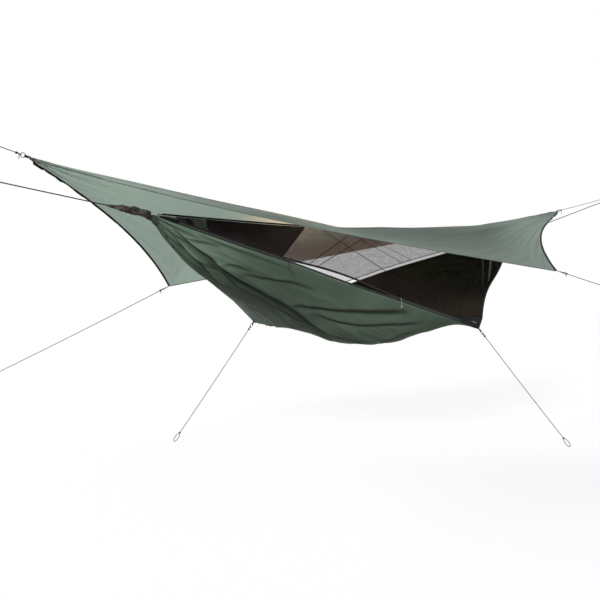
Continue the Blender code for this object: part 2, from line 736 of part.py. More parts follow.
def make_pull(name, length, finish):
    """A cord pull: a loop round the bridge's bar that lies over the tape, then hangs from the edge."""
    centre, along, up, out = zip_frame(length)
    foot = COIL_DIAMETER / 2 + SLIDER_CLEARANCE + SLIDER_PLATE
    hinge = centre + out * (foot + BRIDGE_RISE - BRIDGE_BAR / 2)
    plumb = Vector((0.0, 0.0, -1.0))
    outward = (plumb.cross(along)).normalized()
    if outward.dot(out) < 0:
        outward = -outward
    level = math.hypot(BRIDGE_WIDTH, BRIDGE_BAR) / 2 + PULL_CORD / 2 + GAP
    corner = PULL_CORD / 2
    edge = hinge - up * PULL_RUN
    bend = edge - up * PULL_CORD + plumb * PULL_CORD
    end = bend + plumb * PULL_HANG
    outer = [end + outward * level, bend + outward * level, edge + out * level,
             hinge + up * (level - corner) + out * level]
    inner = [end - outward * level, bend - outward * level, edge - out * level,
             hinge + up * (level - corner) - out * level]
    nose = [hinge + up * level + out * (level - corner), hinge + up * level - out * (level - corner)]
    loop = as_mesh(tube(name + "_loop", outer + nose + inner[::-1], PULL_CORD, finish))
    middle = end + plumb * (PULL_GRIP_LENGTH / 2 - PULL_CORD)
    sideways = plumb.cross(outward).normalized()
    size = (PULL_GRIP_THICKNESS + level, PULL_GRIP_WIDTH, PULL_GRIP_LENGTH)
    grip = block(name + "_grip", middle, (outward, sideways, plumb), size, finish)
    soften = grip.modifiers.new("soft edges", "BEVEL")
    soften.width = PULL_CORD / 2
    soften.segments = 2
    return set_origin(join_solid(name, loop, (grip,), finish), hinge)


def make_zip_stop(finish):
    """The crimped stop at the chain's start."""
    centre, along, up, out = zip_frame(ZIP_START)
    size = (STOP_LENGTH, COIL_DIAMETER, STOP_THICKNESS)
    middle = centre - along * (GAP + STOP_LENGTH / 2)
    return block("zip_end_stop", middle, (along, up, out), size, finish)


def body_sag(x):
    """How deep the cloth hangs below the straight line between its two edges."""
    return BODY_SAG * smooth_value(BODY_SAG_SHARES, x / RIDGE_HALF)


def ease(share):
    """A smooth step from 0 to 1."""
    share = min(max(share, 0.0), 1.0)
    return share * share * (3 - 2 * share)


def crease(line, place, v):
    """Depth of one crease at a place on the cloth, as a share: a valley between two bulges."""
    start, end = line[0][0], line[-1][0]
    strength = ease((place - start) / CREASE_FADE_SHARE) * ease((end - place) / CREASE_FADE_SHARE)
    away = (v - smooth_value(line, place)) / CREASE_WIDTH_SHARE
    bulge, spread = CREASE_BULGE_SHARES
    return strength * (math.exp(-away * away) - bulge * math.exp(-(away / spread) ** 2))


def body_fold(x, v):
    """Outward height of the folds. The cloth is alike from either end, so each crease is there twice."""
    place = x / RIDGE_HALF
    valleys = sum(crease(line, place, v) + crease(line, -place, 1 - v) for line in CREASE_SHARES)
    fan = math.exp(-((1 - abs(place)) / FAN_REACH_SHARE) ** 2) * math.cos(2 * math.pi * FAN_COUNT * v)
    room = math.sin(math.pi * v) * min((1 - abs(place)) / FAN_START_SHARE, 1.0)
    return (FAN_DEPTH * fan - CREASE_DEPTH * valleys) * room


def body_point(x, v):
    """A place on the hammock cloth, from the near edge at 0 to the far edge at 1."""
    near = NEAR.point(x, body_edge(NEAR, x))
    far = FAR.point(x, body_edge(FAR, x))
    corner = NEAR.corner_x if v < 0.5 else FAR.corner_x
    taut = math.exp(-((x - corner) / BODY_TAUT_WIDTH) ** 2)
    power = BODY_SHAPE_POWER + (BODY_TAUT_POWER - BODY_SHAPE_POWER) * taut
    hang = body_sag(x) * (1 - abs(2 * v - 1) ** power)
    outward = Vector((0.0, (2 * v - 1), -1.0)).normalized()
    return near.lerp(far, v) + Vector((0.0, 0.0, -hang)) + outward * body_fold(x, v)


def make_body(finish):
    """The hammock cloth with its main folds."""
    stops = (-CLOTH_END, -CORNER_ALONG, CORNER_ALONG, PATCH_END, NET_END, CLOTH_END)
    read, count = columns_through(stops, (10, 10, 1, NET_END_COLUMNS, 1))

    def place(u, v):
        return body_point(read(u), v)

    return sheet("hammock_body", count, BODY_ROWS, place, BODY_THICKNESS, finish)


def gather_end(way):
    """Where the suspension line leaves a gathered end."""
    return Vector((way * (CLOTH_END + GAP + GATHER_LENGTH), 0.0, 0.0))


def make_gathers(finish):
    """The whipped bundles in which the cloth ends, each a run of rings closed at both ends."""
    for name, way in (("gather_left", -1), ("gather_right", 1)):
        end = gather_end(way)
        mouth_x = way * CLOTH_END
        mouth = sum((body_point(mouth_x, v) for v in (0.0, 0.5, 1.0)), Vector()) / 3
        mouth.x = mouth_x + way * GAP
        mesh = bmesh.new()
        rings = []
        for along, size in GATHER_SHARES:
            centre = mouth.lerp(end, along)
            ring = []
            for step in range(GATHER_SIDES):
                angle = 2 * math.pi * step / GATHER_SIDES
                reach = GATHER_RADIUS * size
                ring.append(mesh.verts.new(centre + Vector((0.0, math.cos(angle), math.sin(angle))) * reach))
            rings.append(ring)
        for first, second in zip(rings, rings[1:]):
            for step in range(GATHER_SIDES):
                after = (step + 1) % GATHER_SIDES
                mesh.faces.new((first[step], first[after], second[after], second[step]))
        mesh.faces.new(rings[0])
        mesh.faces.new(rings[-1])
        object_from_bmesh(name, mesh, finish).data.shade_smooth()


def make_ridge_line(finish):
    """The line that holds the two gathers at their set distance."""
    count = 20
    points = []
    for step in range(count + 1):
        x = NET_END * (2 * step / count - 1)
        points.append(Vector((x, 0.0, ridge_height(x))))
    return tube("ridge_line", points, RIDGE_DIAMETER, finish)


def line_points(start, direction, length, count):
    """A taut line with the slight sag of its own weight."""
    points = []
    for step in range(count + 1):
        share = step / count
        drop = LINE_SAG_SHARE * length * 4 * share * (1 - share)
        points.append(start + direction * length * share - Vector((0.0, 0.0, drop)))
    return points


def make_sleeve(name, start, direction, finish):
    """A bunched fabric sleeve that runs loosely round a suspension line."""
    side = direction.cross(Vector((0.0, 1.0, 0.0))).normalized()
    across = direction.cross(side)

    def place(u, v):
        snug = LINE_DIAMETER / 2 + GAP + SLEEVE_WALL / 2 + GAP / 2
        radius = snug + (SLEEVE_RADIUS - snug) * smooth_value(SLEEVE_SHARES, u)
        angle = 2 * math.pi * v
        lump = SLEEVE_LUMP * math.sin(math.pi * u) * math.cos(SLEEVE_WAVE * u)
        lump *= math.sin(SLEEVE_LUMPS * angle + SLEEVE_TWIST * u)
        reach = radius + lump
        centre = start + direction * SLEEVE_LENGTH * u
        return centre + (side * math.cos(angle) + across * math.sin(angle)) * reach

    return sheet(name, 11, 12, place, SLEEVE_WALL, finish)


def ring_frame(tip, direction, normal):
    """Directions of a ring pulled along a line: its axis, and the centre of the ring."""
    axis = (normal - direction * normal.dot(direction)).normalized()
    centre = tip + direction * (TAB_LENGTH + RING_RADIUS)
    return centre, axis


def make_tab(name, tip, direction, normal, room, finish):
    """A webbing tab folded round a ring's wire, its two layers close together where it is sewn on."""
    axis = (normal - direction * normal.dot(direction)).normalized()
    across = direction.cross(axis)
    reach = RING_WIRE / 2 + GAP + TAB_THICKNESS / 2
    closed = (TAB_THICKNESS + GAP) / 2
    bow = RING_RADIUS - math.sqrt(RING_RADIUS**2 - (TAB_WIDTH / 2) ** 2)
    wire = tip + direction * TAB_LENGTH
    seat = tip + direction * room
    turns = 6
    path = [seat + axis * closed]
    for step in range(turns + 1):
        angle = math.pi * step / turns
        path.append(wire + direction * (bow + GAP)
                    + (axis * math.cos(angle) + direction * math.sin(angle)) * reach)
    path.append(seat - axis * closed)

    def place(u, v):
        return path[round(u * (len(path) - 1))] + across * TAB_WIDTH * (v - 0.5)

    return sheet(name, len(path) - 1, 2, place, TAB_THICKNESS, finish)


def make_ring(name, centre, axis, finish):
    """A metal ring."""
    bpy.ops.mesh.primitive_torus_add(major_radius=RING_RADIUS, minor_radius=RING_WIRE / 2,
                                     major_segments=16, minor_segments=6)
    ring = bpy.context.object
    ring.name = name
    ring.rotation_mode = "QUATERNION"
    ring.rotation_quaternion = Vector((0, 0, 1)).rotation_difference(axis)
    ring.location = centre
    ring.data.shade_smooth()
    return link(ring, finish)


def knot_stations(start, direction, diameter):
    """Points through a tight knot with the line's thickness share at each."""
    radius = max(KNOT_RADIUS, diameter * KNOT_LEAST_SHARE)
    inside = [(start + direction * KNOT_LENGTH * along, radius * size / (diameter / 2))
              for along, size in KNOT_SHARES]
    return [(start, 1.0), *inside, (start + direction * KNOT_LENGTH, 1.0)]


def tie_stations(centre, direction, axis, diameter):
    """The turn of a line round a ring's wire, from beside the knot, and where the knot starts."""
    reach = RING_WIRE / 2 + GAP + diameter / 2
    wire = centre + direction * RING_RADIUS
    free_end = wire + direction * (reach + diameter * 3 / 2) + axis * reach
    turns = 4
    points = [free_end]
    for step in range(turns + 1):
        angle = math.pi * step / turns
        points.append(wire + axis * reach * math.cos(angle) - direction * reach * math.sin(angle))
    return points, wire + direction * (reach + diameter * 2)


def tail_points(free_end, direction, axis, diameter):
    """The short free end, which leaves sideways and hangs down."""
    sideways = direction.cross(Vector((0.0, 0.0, 1.0))).normalized()
    if sideways.dot(axis) < 0:
        sideways = -sideways
    clear = free_end + sideways * (KNOT_RADIUS + diameter)
    return [clear - Vector((0.0, 0.0, TAIL_LENGTH)), clear - Vector((0.0, 0.0, diameter)),
            free_end + sideways * diameter]


def loop_points(base, direction, diameter):
    """The loop in which a line ends, back to just beside its knot."""
    side = direction.cross(Vector((0.0, 0.0, 1.0))).normalized()
    axis = side.cross(direction)
    steps = 6
    outline = []
    for step in range(1, steps):
        turn = math.pi * step / steps
        width = LINE_LOOP_WIDTH / 2 * math.sin(turn) ** LOOP_FULLNESS_SHARE
        outline.append((LINE_LOOP_LENGTH * (1 - math.cos(turn)) / 2, width))
    outer = [base + direction * reach + axis * width for reach, width in outline]
    inner = [base + direction * reach - axis * width for reach, width in outline]
    back = base + direction * diameter / 2 - axis * (diameter + GAP)
    return outer + [base + direction * LINE_LOOP_LENGTH] + inner[::-1] + [back]


def make_line(name, points, diameter, finish, tie=None, tail=False):
    """A free line in one length: tied to its ring, knotted again at its far end and looped there."""
    stations = []
    if tie:
        centre, axis = tie
        way = (points[1] - points[0]).normalized()
        turn, knot = tie_stations(centre, way, axis, diameter)
        if tail:
            turn = tail_points(turn[0], way, axis, diameter) + turn
        stations = [(point, 1.0) for point in turn] + knot_stations(knot, way, diameter)[:-1]
    stations += [(point, 1.0) for point in points[:-1]]
    way = (points[-1] - points[-2]).normalized()
    knot = knot_stations(points[-1], way, diameter)
    stations += knot + [(point, 1.0) for point in loop_points(knot[-1][0], way, diameter)]
    return tube(name, [point for point, share in stations], diameter, finish,
                swell_shares=[share for point, share in stations])


def line_start(centre, direction, diameter):
    """Where a line leaves its knot at the ring."""
    reach = RING_WIRE / 2 + GAP + diameter / 2
    return centre + direction * (RING_RADIUS + reach + diameter * 2 + KNOT_LENGTH)


def fly_ridge(x):
    """Height of the fly's middle surface above the ridge."""
    binding = RIDGE_BINDING_INNER + RIDGE_BINDING_WALL
    rest = ridge_height(FLY_REACH * FLY_REST_SHARE) + binding + GAP + FLY_THICKNESS / 2
    return rest + (FLY_RISE - rest) * smooth_value(FLY_RIDGE_SHARES, x / FLY_REACH)


def fly_corners():
    """The two side corners of the fly."""
    near = Vector((FLY_NEAR_ALONG, -FLY_NEAR_OUT, -FLY_NEAR_DROP))
    far = Vector((-FLY_FAR_ALONG, FLY_FAR_OUT, -FLY_FAR_DROP))
    return near, far


def fly_border(sign, x):
    """The fly's outer edge at a column, on the near side for -1 and the far side for 1."""
    near, far = fly_corners()
    corner = near if sign < 0 else far
    long_end = -FLY_REACH if sign < 0 else FLY_REACH
    short_end = -long_end
    on_long = (x - corner.x) * (long_end - corner.x) >= 0
    end = Vector((long_end if on_long else short_end, 0.0, FLY_RISE))
    share = (x - end.x) / (corner.x - end.x)
    point = end.lerp(corner, share)
    if on_long:
        sag = FLY_HEM_SAG if sign < 0 else FLY_FAR_HEM_SAG
        return point - Vector((0.0, 0.0, sag * math.sin(math.pi * share**FLY_HEM_POWER)))
    edge = (corner - end).normalized()
    inward = Vector((-end.x, 0.0, 0.0))
    inward = (inward - edge * inward.dot(edge)).normalized()
    hollow = FLY_HOLLOW_RIGHT if sign < 0 else FLY_HOLLOW_LEFT
    skewed = share ** (FLY_HOLLOW_RIGHT_POWER if sign < 0 else FLY_HOLLOW_LEFT_POWER)
    return point + inward * hollow * 4 * skewed * (1 - skewed)


def fly_wrinkle(x, w):
    """Soft wrinkles that run out from both ridge tips."""
    near_tip = max(abs(x) / FLY_REACH - FLY_WRINKLE_START_SHARE, 0.0)
    return FLY_WRINKLE * near_tip * math.sin(math.pi * w) * math.sin(FLY_WRINKLES * math.pi * w)


def fly_point(x, v):
    """A place on the fly: v runs from the near border at -1 over the ridge at 0 to the far border at 1."""
    ridge = Vector((x, 0.0, fly_ridge(x)))
    if v == 0:
        return ridge
    w = abs(v)
    border = fly_border(-1 if v < 0 else 1, x)
    point = ridge.lerp(border, w)
    return point + Vector((0.0, 0.0, fly_wrinkle(x, w)))


def fly_columns():
    """Columns of the fly, with one through each side corner and one where it rests on the ridge binding."""
    tip = FLY_REACH - FLY_TIP_CUT
    stops = (-tip, -FLY_FAR_ALONG, FLY_REACH * FLY_REST_SHARE, FLY_NEAR_ALONG, tip)
    return columns_through(stops, (FLY_END_COLUMNS, FLY_LEFT_COLUMNS, FLY_RIGHT_COLUMNS, FLY_END_COLUMNS))


def make_fly(finish):
    """The rain fly: one sheet over the ridge."""
    read, count = fly_columns()

    def place(u, v):
        return fly_point(read(u), round((2 * v - 1) * FLY_ROWS) / FLY_ROWS)

    return sheet("rain_fly", count, 2 * FLY_ROWS, place, FLY_THICKNESS, finish)


def fly_binding_point(sign, x, v):
    """A place on the binding of a hollow-cut short edge, from the cloth at 0 to its outer border at 1."""
    corner_x, tip_x = fly_short_edge(sign)
    inside = fly_point(x, sign * (1 - 1 / FLY_ROWS))
    step = (corner_x - tip_x) * FLY_EDGE_STEP_SHARE
    from_tip = abs(x - tip_x) < abs(x - corner_x)
    ahead = fly_border(sign, x + step if from_tip else x)
    behind = fly_border(sign, x if from_tip else x - step)
    edge = (ahead - behind).normalized()
    outward = fly_border(sign, x) - inside
    outward = (outward - edge * outward.dot(edge)).normalized()
    return fly_border(sign, x) + outward * (FLY_THICKNESS / 2 + GAP * 2 + FLY_BINDING_WIDTH * v)


def fly_short_edge(sign):
    """Where a short edge ends along the ridge: at its side corner and at its ridge tip."""
    near, far = fly_corners()
    return (far if sign > 0 else near).x, -sign * (FLY_REACH - FLY_TIP_CUT)


def make_fly_bindings(finish):
    """Bindings on the two hollow-cut short edges."""
    for name, sign in (("fly_binding_left", 1), ("fly_binding_right", -1)):
        corner_x, tip_x = fly_short_edge(sign)
        read, count = columns_through((tip_x, corner_x), (FLY_END_COLUMNS,))

        def place(u, v, sign=sign, read=read):
            return fly_binding_point(sign, read(u), v)

        sheet(name, count, 1, place, FLY_BINDING_THICKNESS, finish)


def fly_tips():
    """Each corner of the fly with the way its line pulls and the cloth's outward side there."""
    near, far = fly_corners()
    left_way = unit((-1.0, 0.0, FLY_LINE_LEFT_SLOPE))
    right_way = unit((1.0, 0.0, FLY_LINE_RIGHT_SLOPE))
    near_way, far_way = unit(FLY_GUY_NEAR_WAY_SHARES), unit(FLY_GUY_FAR_WAY_SHARES)
    sideways = Vector((0.0, -1.0, 0.0))
    upward = Vector((0.0, 0.0, 1.0))
    tip = FLY_REACH - FLY_TIP_CUT
    return (("left", Vector((-tip, 0.0, fly_ridge(-tip))), left_way, sideways),
            ("right", Vector((tip, 0.0, fly_ridge(tip))), right_way, sideways),
            ("near", fly_binding_point(-1, near.x, 1) + near_way * FLY_TAB_ROOM, near_way, upward),
            ("far", fly_binding_point(1, far.x, 1) + far_way * FLY_TAB_ROOM, far_way, upward))


def make_pocket(finish, strap_finish):
    """The mesh organiser under the ridge line, with the two loops it slides on."""
    start = POCKET_START - RIDGE_HALF
    end = start + POCKET_LENGTH
    left, right = Vector((start, 0.0, ridge_height(start))), Vector((end, 0.0, ridge_height(end)))

    def place(u, v):
        inward = POCKET_SLANT * POCKET_LEFT_SLANT_SHARE * v
        x = left.x + inward + (right.x - left.x - inward - POCKET_SLANT * v) * u
        top = left.z + (right.z - left.z) * u - POCKET_DROP - POCKET_SAG * math.sin(math.pi * u)
        bow = POCKET_BOW * math.sin(math.pi * u) * math.sin(math.pi * v)
        return Vector((x, -bow, top - POCKET_DEPTH * v))

    sheet("ridge_pocket", 14, 6, place, POCKET_THICKNESS, finish)
    for label, place_x in (("left", left.x + POCKET_DROP), ("right", right.x - POCKET_DROP)):
        hanging_loop(f"pocket_loop_{label}", place_x, POCKET_DROP, strap_finish)


def hanging_loop(label, x, drop, finish):
    """A cord loop round the ridge line whose two ends run down to what it carries."""
    radius = RIDGE_DIAMETER / 2 + LOOP_CLEARANCE + LOOP_CORD / 2
    height = ridge_height(x)
    foot = LOOP_CORD / 2 + GAP
    neck = height - radius * LOOP_NECK_SHARE
    points = [Vector((x, -foot, height - drop)), Vector((x, -foot, neck))]
    steps = 12
    for step in range(steps + 1):
        angle = LOOP_FOOT_START - LOOP_TURN * step / steps
        points.append(Vector((x, radius * math.cos(angle), height + radius * math.sin(angle))))
    points += [Vector((x, foot, neck)), Vector((x, foot, height - drop))]
    return tube(label, points, LOOP_CORD, finish)


def make_hooks(loop_finish, hook_finish):
    """Two gear hooks: each has a loop that slides on the ridge line and a hook that swings in it."""
    pocket_end = POCKET_START + POCKET_LENGTH - RIDGE_HALF
    for number, clearance in enumerate(HOOK_CLEARANCES):
        x = pocket_end + clearance
        height = ridge_height(x)
        over = RIDGE_DIAMETER / 2 + LOOP_CLEARANCE + LOOP_CORD / 2
        under = HOOK_WIRE / 2 + GAP + LOOP_CORD / 2
        low = height - HOOK_LOOP_DROP
        loop = []
        for radius, middle, first in ((over, height, 0.0), (under, low + under, math.pi)):
            for step in range(8):
                angle = first + math.pi * step / 7
                loop.append(Vector((x, radius * math.cos(angle), middle + radius * math.sin(angle))))
        tube(f"hook_loop_{number + 1}", loop, LOOP_CORD, loop_finish, closed=True)
        eye = HOOK_WIRE / 2 + LOOP_CORD + GAP * 2
        eye_height = low + LOOP_CORD / 2 + GAP + HOOK_WIRE / 2 - eye
        points = []
        for step in range(9):
            angle = HOOK_EYE_START + (math.pi - HOOK_EYE_START) * step / 8
            points.append(Vector((x + eye * math.sin(angle), 0.0, eye_height + eye * math.cos(angle))))
        bottom = eye_height - HOOK_HEIGHT
        for step in range(9):
            angle = HOOK_BEND * step / 8
            points.append(Vector((x + HOOK_RADIUS * (1 - math.cos(angle)), 0.0,
                                  bottom + HOOK_RADIUS - HOOK_RADIUS * math.sin(angle))))
        hook = as_mesh(tube(f"gear_hook_{number + 1}", points, HOOK_WIRE, hook_finish))
        set_origin(hook, (x, 0.0, low))


def main():
    """Build the whole part."""
    clear_scene()
    make_collection(COLLECTION_NAME)
    make_collection(CUTTER_COLLECTION_NAME).hide_render = True
    green = (0.075, 0.125, 0.095)
    make_fly(cloth_material("fly_cloth", (0.16, 0.22, 0.18)))
    make_fly_bindings(cloth_material("fly_binding", (0.02, 0.02, 0.022)))
    make_body(cloth_material("body_cloth", green))
    make_nets(cloth_material("insect_net", (0.03, 0.026, 0.026)))
    webbing = cloth_material("black_webbing", (0.015, 0.015, 0.016))
    make_ridge_binding(webbing)
    make_edge_bindings(webbing)
    make_patches(webbing)
    make_zip_tapes(cloth_material("zip_tape", (0.03, 0.03, 0.032)))
    make_zip_chain(material("zip_coil", (0.02, 0.02, 0.022), 0.45))
    metal = material("slider_metal", (0.30, 0.30, 0.31), 0.35, 1.0)
    make_slider("zip_slider_left", SLIDER_LEFT, -1, metal)
    make_slider("zip_slider_right", SLIDER_RIGHT, 1, metal)
    pull_cord = cloth_material("pull_cord", (0.42, 0.52, 0.42))
    make_pull("zip_pull_left", SLIDER_LEFT, cloth_material("dark_pull_cord", (0.03, 0.03, 0.03)))
    make_pull("zip_pull_right", SLIDER_RIGHT, pull_cord)
    make_zip_stop(metal)
    make_gathers(cloth_material("gather_cloth", green))
    rope = cloth_material("rope", (0.03, 0.03, 0.03))
    make_ridge_line(rope)
    make_lines(webbing, rope)
    make_pocket(cloth_material("pocket_mesh", (0.02, 0.018, 0.018)), rope)
    make_hooks(rope, material("hook_plastic", (0.02, 0.02, 0.02), 0.4))


def make_lines(webbing, rope):
    """Rings with their tabs, the eight free lines, and the storage sleeves."""
    steel = material("ring_steel", (0.75, 0.75, 0.76), 0.25, 1.0)
    runs = {"left": FLY_LINE_LEFT_RUN, "right": FLY_LINE_RIGHT_RUN,
            "near": FLY_GUY_NEAR_RUN, "far": FLY_GUY_FAR_RUN}
    for label, tip, way, normal in fly_tips():
        centre, axis = ring_frame(tip, way, normal)
        room = TAB_ROOM + TAB_WIDTH / 4 * abs(way.z) if label in ("left", "right") else TAB_ROOM
        make_tab(f"fly_tab_{label}", tip, way, normal, room, webbing)
        make_ring(f"fly_ring_{label}", centre, axis, steel)
        points = line_points(line_start(centre, way, GUY_DIAMETER), way, runs[label], LINE_STEPS)
        kind = "fly_guy_line" if label in ("near", "far") else "fly_ridge_line"
        make_line(f"{kind}_{label}", points, GUY_DIAMETER, rope, (centre, axis), tail=True)
    for label, side, way in (("near", NEAR, unit(SIDE_GUY_NEAR_WAY_SHARES)),
                             ("far", FAR, unit(SIDE_GUY_FAR_WAY_SHARES))):
        tip = side.point(side.corner_x, side.slope)
        centre, axis = ring_frame(tip, way, side.normal)
        make_tab(f"corner_tab_{label}", tip, way, side.normal, TAB_ROOM, webbing)
        make_ring(f"corner_ring_{label}", centre, axis, steel)
        points = line_points(line_start(centre, way, GUY_DIAMETER), way, SIDE_GUY_RUN, LINE_STEPS)
        make_line(f"side_guy_line_{label}", points, GUY_DIAMETER, rope, (centre, axis))
    sleeve_cloth = cloth_material("sleeve_cloth", (0.10, 0.10, 0.10))
    for label, way, run, slope in (("left", -1, SUSPENSION_LEFT_RUN, SUSPENSION_LEFT_SLOPE),
                                   ("right", 1, SUSPENSION_RIGHT_RUN, SUSPENSION_RIGHT_SLOPE)):
        direction = unit((way, 0.0, slope))
        start = gather_end(way) + direction * (GAP + LINE_DIAMETER / 2 * slope)
        points = [start, start + direction * run]
        make_line(f"suspension_line_{label}", points, LINE_DIAMETER, rope)
        make_sleeve(f"storage_sleeve_{label}", start + direction * SLEEVE_START, direction, sleeve_cloth)


main()
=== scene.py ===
"""Looks of the hammock tent: cloth, net, zip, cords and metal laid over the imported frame."""

import math

import bmesh
import bpy
from mathutils import Matrix, Vector, noise


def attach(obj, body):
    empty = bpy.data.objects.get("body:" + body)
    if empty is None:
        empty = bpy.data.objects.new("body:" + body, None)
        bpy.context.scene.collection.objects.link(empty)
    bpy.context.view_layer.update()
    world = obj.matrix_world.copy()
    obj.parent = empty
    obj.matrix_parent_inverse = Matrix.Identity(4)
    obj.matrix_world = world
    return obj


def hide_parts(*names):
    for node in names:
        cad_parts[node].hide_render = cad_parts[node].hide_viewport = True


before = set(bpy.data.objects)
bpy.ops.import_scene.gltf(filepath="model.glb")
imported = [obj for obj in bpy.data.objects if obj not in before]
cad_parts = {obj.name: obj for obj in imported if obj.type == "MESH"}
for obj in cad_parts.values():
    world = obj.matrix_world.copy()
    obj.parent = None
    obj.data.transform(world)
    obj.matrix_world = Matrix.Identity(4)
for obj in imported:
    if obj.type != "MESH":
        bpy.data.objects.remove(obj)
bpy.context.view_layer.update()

ROOT = "tent"
GAP = 0.0003
ACROSS = Vector((0.0, 1.0, 0.0))
UP = Vector((0.0, 0.0, 1.0))

# Ridge line and side corners
RIDGE_HALF = 1.350
RIDGE_SAG = 0.018
RIDGE_DIAMETER = 0.004
CORNER_ALONG = 0.460
CORNER_OUT = 0.480
CORNER_DROP_NEAR = 0.600
CORNER_DROP_FAR = 0.560
FAR_EDGE_RISE = 0.070
NEAR_EDGE_RISE = 0.042
SAG_FADE = 0.300
SAG_FADE_START = 0.020

# Hammock cloth: its mesh step, its sizes for the weave and laid flat, and its form
BODY_STEP = 0.009
BODY_SIZE = (2.6, 1.35)
BODY_THICKNESS = 0.0008
BODY_SAG = 0.270
BODY_SHAPE_POWER = 2.2
BODY_TAUT_POWER = 1.3
BODY_TAUT_WIDTH = 0.200
EDGE_GAP = BODY_THICKNESS / 2 + GAP * 4
BODY_SAG_SHARES = ((-1.0, 0.0), (-0.89, 0.27), (-0.785, 0.42), (-0.667, 0.43), (-0.44, 0.42),
                   (-0.30, 0.55), (-0.10, 0.94), (0.02, 1.0), (0.185, 0.74), (0.34, 0.34),
                   (0.667, 0.24), (0.89, 0.14), (1.0, 0.0))
FAN_HEIGHTS = (0.009, 0.005)
CRUMPLE_HEIGHTS = (0.0085, 0.0032, 0.0012)
# Creases: line as (metres along, share of the cloth across), depth, and half width as a share across
BODY_CREASES = (
    (((-1.29, 0.10), (-1.27, 0.27), (-1.22, 0.49), (-1.16, 0.64)), 0.014, 0.040),
    (((-1.27, 0.08), (-1.20, 0.24), (-1.07, 0.34), (-0.98, 0.44), (-0.88, 0.54), (-0.75, 0.62),
      (-0.62, 0.69), (-0.47, 0.70)), 0.020, 0.026),
    (((-1.24, 0.06), (-1.14, 0.15), (-1.05, 0.18), (-0.97, 0.24), (-0.82, 0.29), (-0.57, 0.31),
      (-0.48, 0.31), (-0.37, 0.37), (-0.28, 0.39), (-0.16, 0.38)), 0.027, 0.027),
    (((-1.08, 0.24), (-0.91, 0.33), (-0.81, 0.40), (-0.63, 0.40), (-0.45, 0.39), (-0.38, 0.41)), 0.015, 0.020),
    (((-0.98, 0.22), (-0.90, 0.16), (-0.78, 0.15)), 0.007, 0.022),
    (((-1.18, 0.12), (-1.08, 0.07), (-0.99, 0.04)), 0.009, 0.022),
    (((-1.12, 0.015), (-0.90, 0.025), (-0.62, 0.03)), 0.006, 0.020),
    (((-0.88, 0.22), (-0.71, 0.16), (-0.61, 0.12), (-0.46, 0.09)), 0.009, 0.022),
    (((-0.56, 0.30), (-0.47, 0.23), (-0.37, 0.19), (-0.24, 0.12), (-0.11, 0.07), (0.06, 0.02)), 0.013, 0.026),
    (((-0.44, 0.27), (-0.31, 0.25), (-0.17, 0.19), (0.00, 0.12), (0.17, 0.07)), 0.011, 0.022),
    (((-0.20, 0.37), (-0.06, 0.34), (0.03, 0.26), (0.08, 0.19), (0.17, 0.15)), 0.014, 0.024))
CREASE_FADE = 0.14
CREASE_BULGE_SHARES = (0.55, 2.6)
FAR_CREASE_SHARE = 0.8
# Painted shade in the crease valleys, a wide painted shadow below the deepest creases, and painted highlight on
# the bulges:
CREASE_DARK_DEPTH = 0.015
CREASE_DEEPER = 0.010
CREASE_LIT_HEIGHT = 0.008
GATHER_REACH = 0.050
GATHER_ROOM = 0.004
GATHER_LENGTH = 0.074
GATHER_RADIUS = 0.021
GATHER_GIRTH = 0.13
GATHER_PROFILE = ((0.0, 1.0), (0.14, 0.93), (0.30, 0.66), (0.40, 0.57), (0.44, 0.62), (0.70, 0.62),
                  (0.74, 0.57), (0.86, 0.72), (0.97, 0.60), (1.0, 0.40))
WHIPPING_DIAMETER = 0.0022
WHIPPING_LIFT = 0.0010

# Net, bindings and patches
NET_STEP = 0.007
NET_THICKNESS = 0.0006
NET_DRAPE = 0.003
NET_PLEAT_HEIGHT = 0.005
FAR_NET_SHORT = 0.115
FAR_BINDING_SHORT = 0.080
# Seams across the nets: which net, place on the ridge line and place on the hem
NET_SEAMS = (("near", -0.06, -0.52), ("near", 0.084, -0.47), ("near", -0.32, 0.27), ("far", -0.14, 0.48),
             ("far", -0.08, 0.55))
SEAM_WIDTH = 0.007
SEAM_LENGTH = 0.6
HEM_SEAM_STEP = 0.02
FAR_STRIP = 0.024
RIDGE_BINDING_RADIUS = 0.0051
RIDGE_BINDING_WALL = 0.0009
RIDGE_BINDING_START = 0.030
RIDGE_BINDING_SIZE = (2.5, 0.02)
BINDING_STEP = 0.012
BINDING_WIDTH = 0.010
BINDING_THICKNESS = 0.0012
EDGE_TAPE_STEP = 0.008
EDGE_TAPE_START = 0.010
PATCH_STEP = 0.006
PATCH_LEFT = 0.110
PATCH_RIGHT = 0.085
PATCH_THICKNESS = 0.0012
LABEL_STEP = 0.004
LABEL_THICKNESS = 0.0006
LABEL_LEFT, LABEL_RIGHT, LABEL_TOP, LABEL_BOTTOM, LABEL_SLANT_SHARE = 0.022, 0.006, 0.052, 0.038, 0.4
CORNER_WEBBING_REACH = 0.030
CORNER_WEBBING_START = 0.004
CORNER_WEBBING_SIZE = (0.06, 0.04)

# Zip
TAPE_WIDTH = 0.014
TAPE_THICKNESS = 0.0010
COIL_DIAMETER = 0.0040
COIL_PITCH = 0.0011
COIL_WIDTH_SHARES = (0.80, 0.98)
ROW_DIAMETER = 0.0018
ZIP_START = 0.163
SLIDER_LEFT = 0.757
SLIDER_RIGHT = 1.445
SLIDER_LENGTH = 0.020
SLIDER_POST = 0.0024
DOOR_LIFT = 0.030
DOOR_DROOP = 0.008

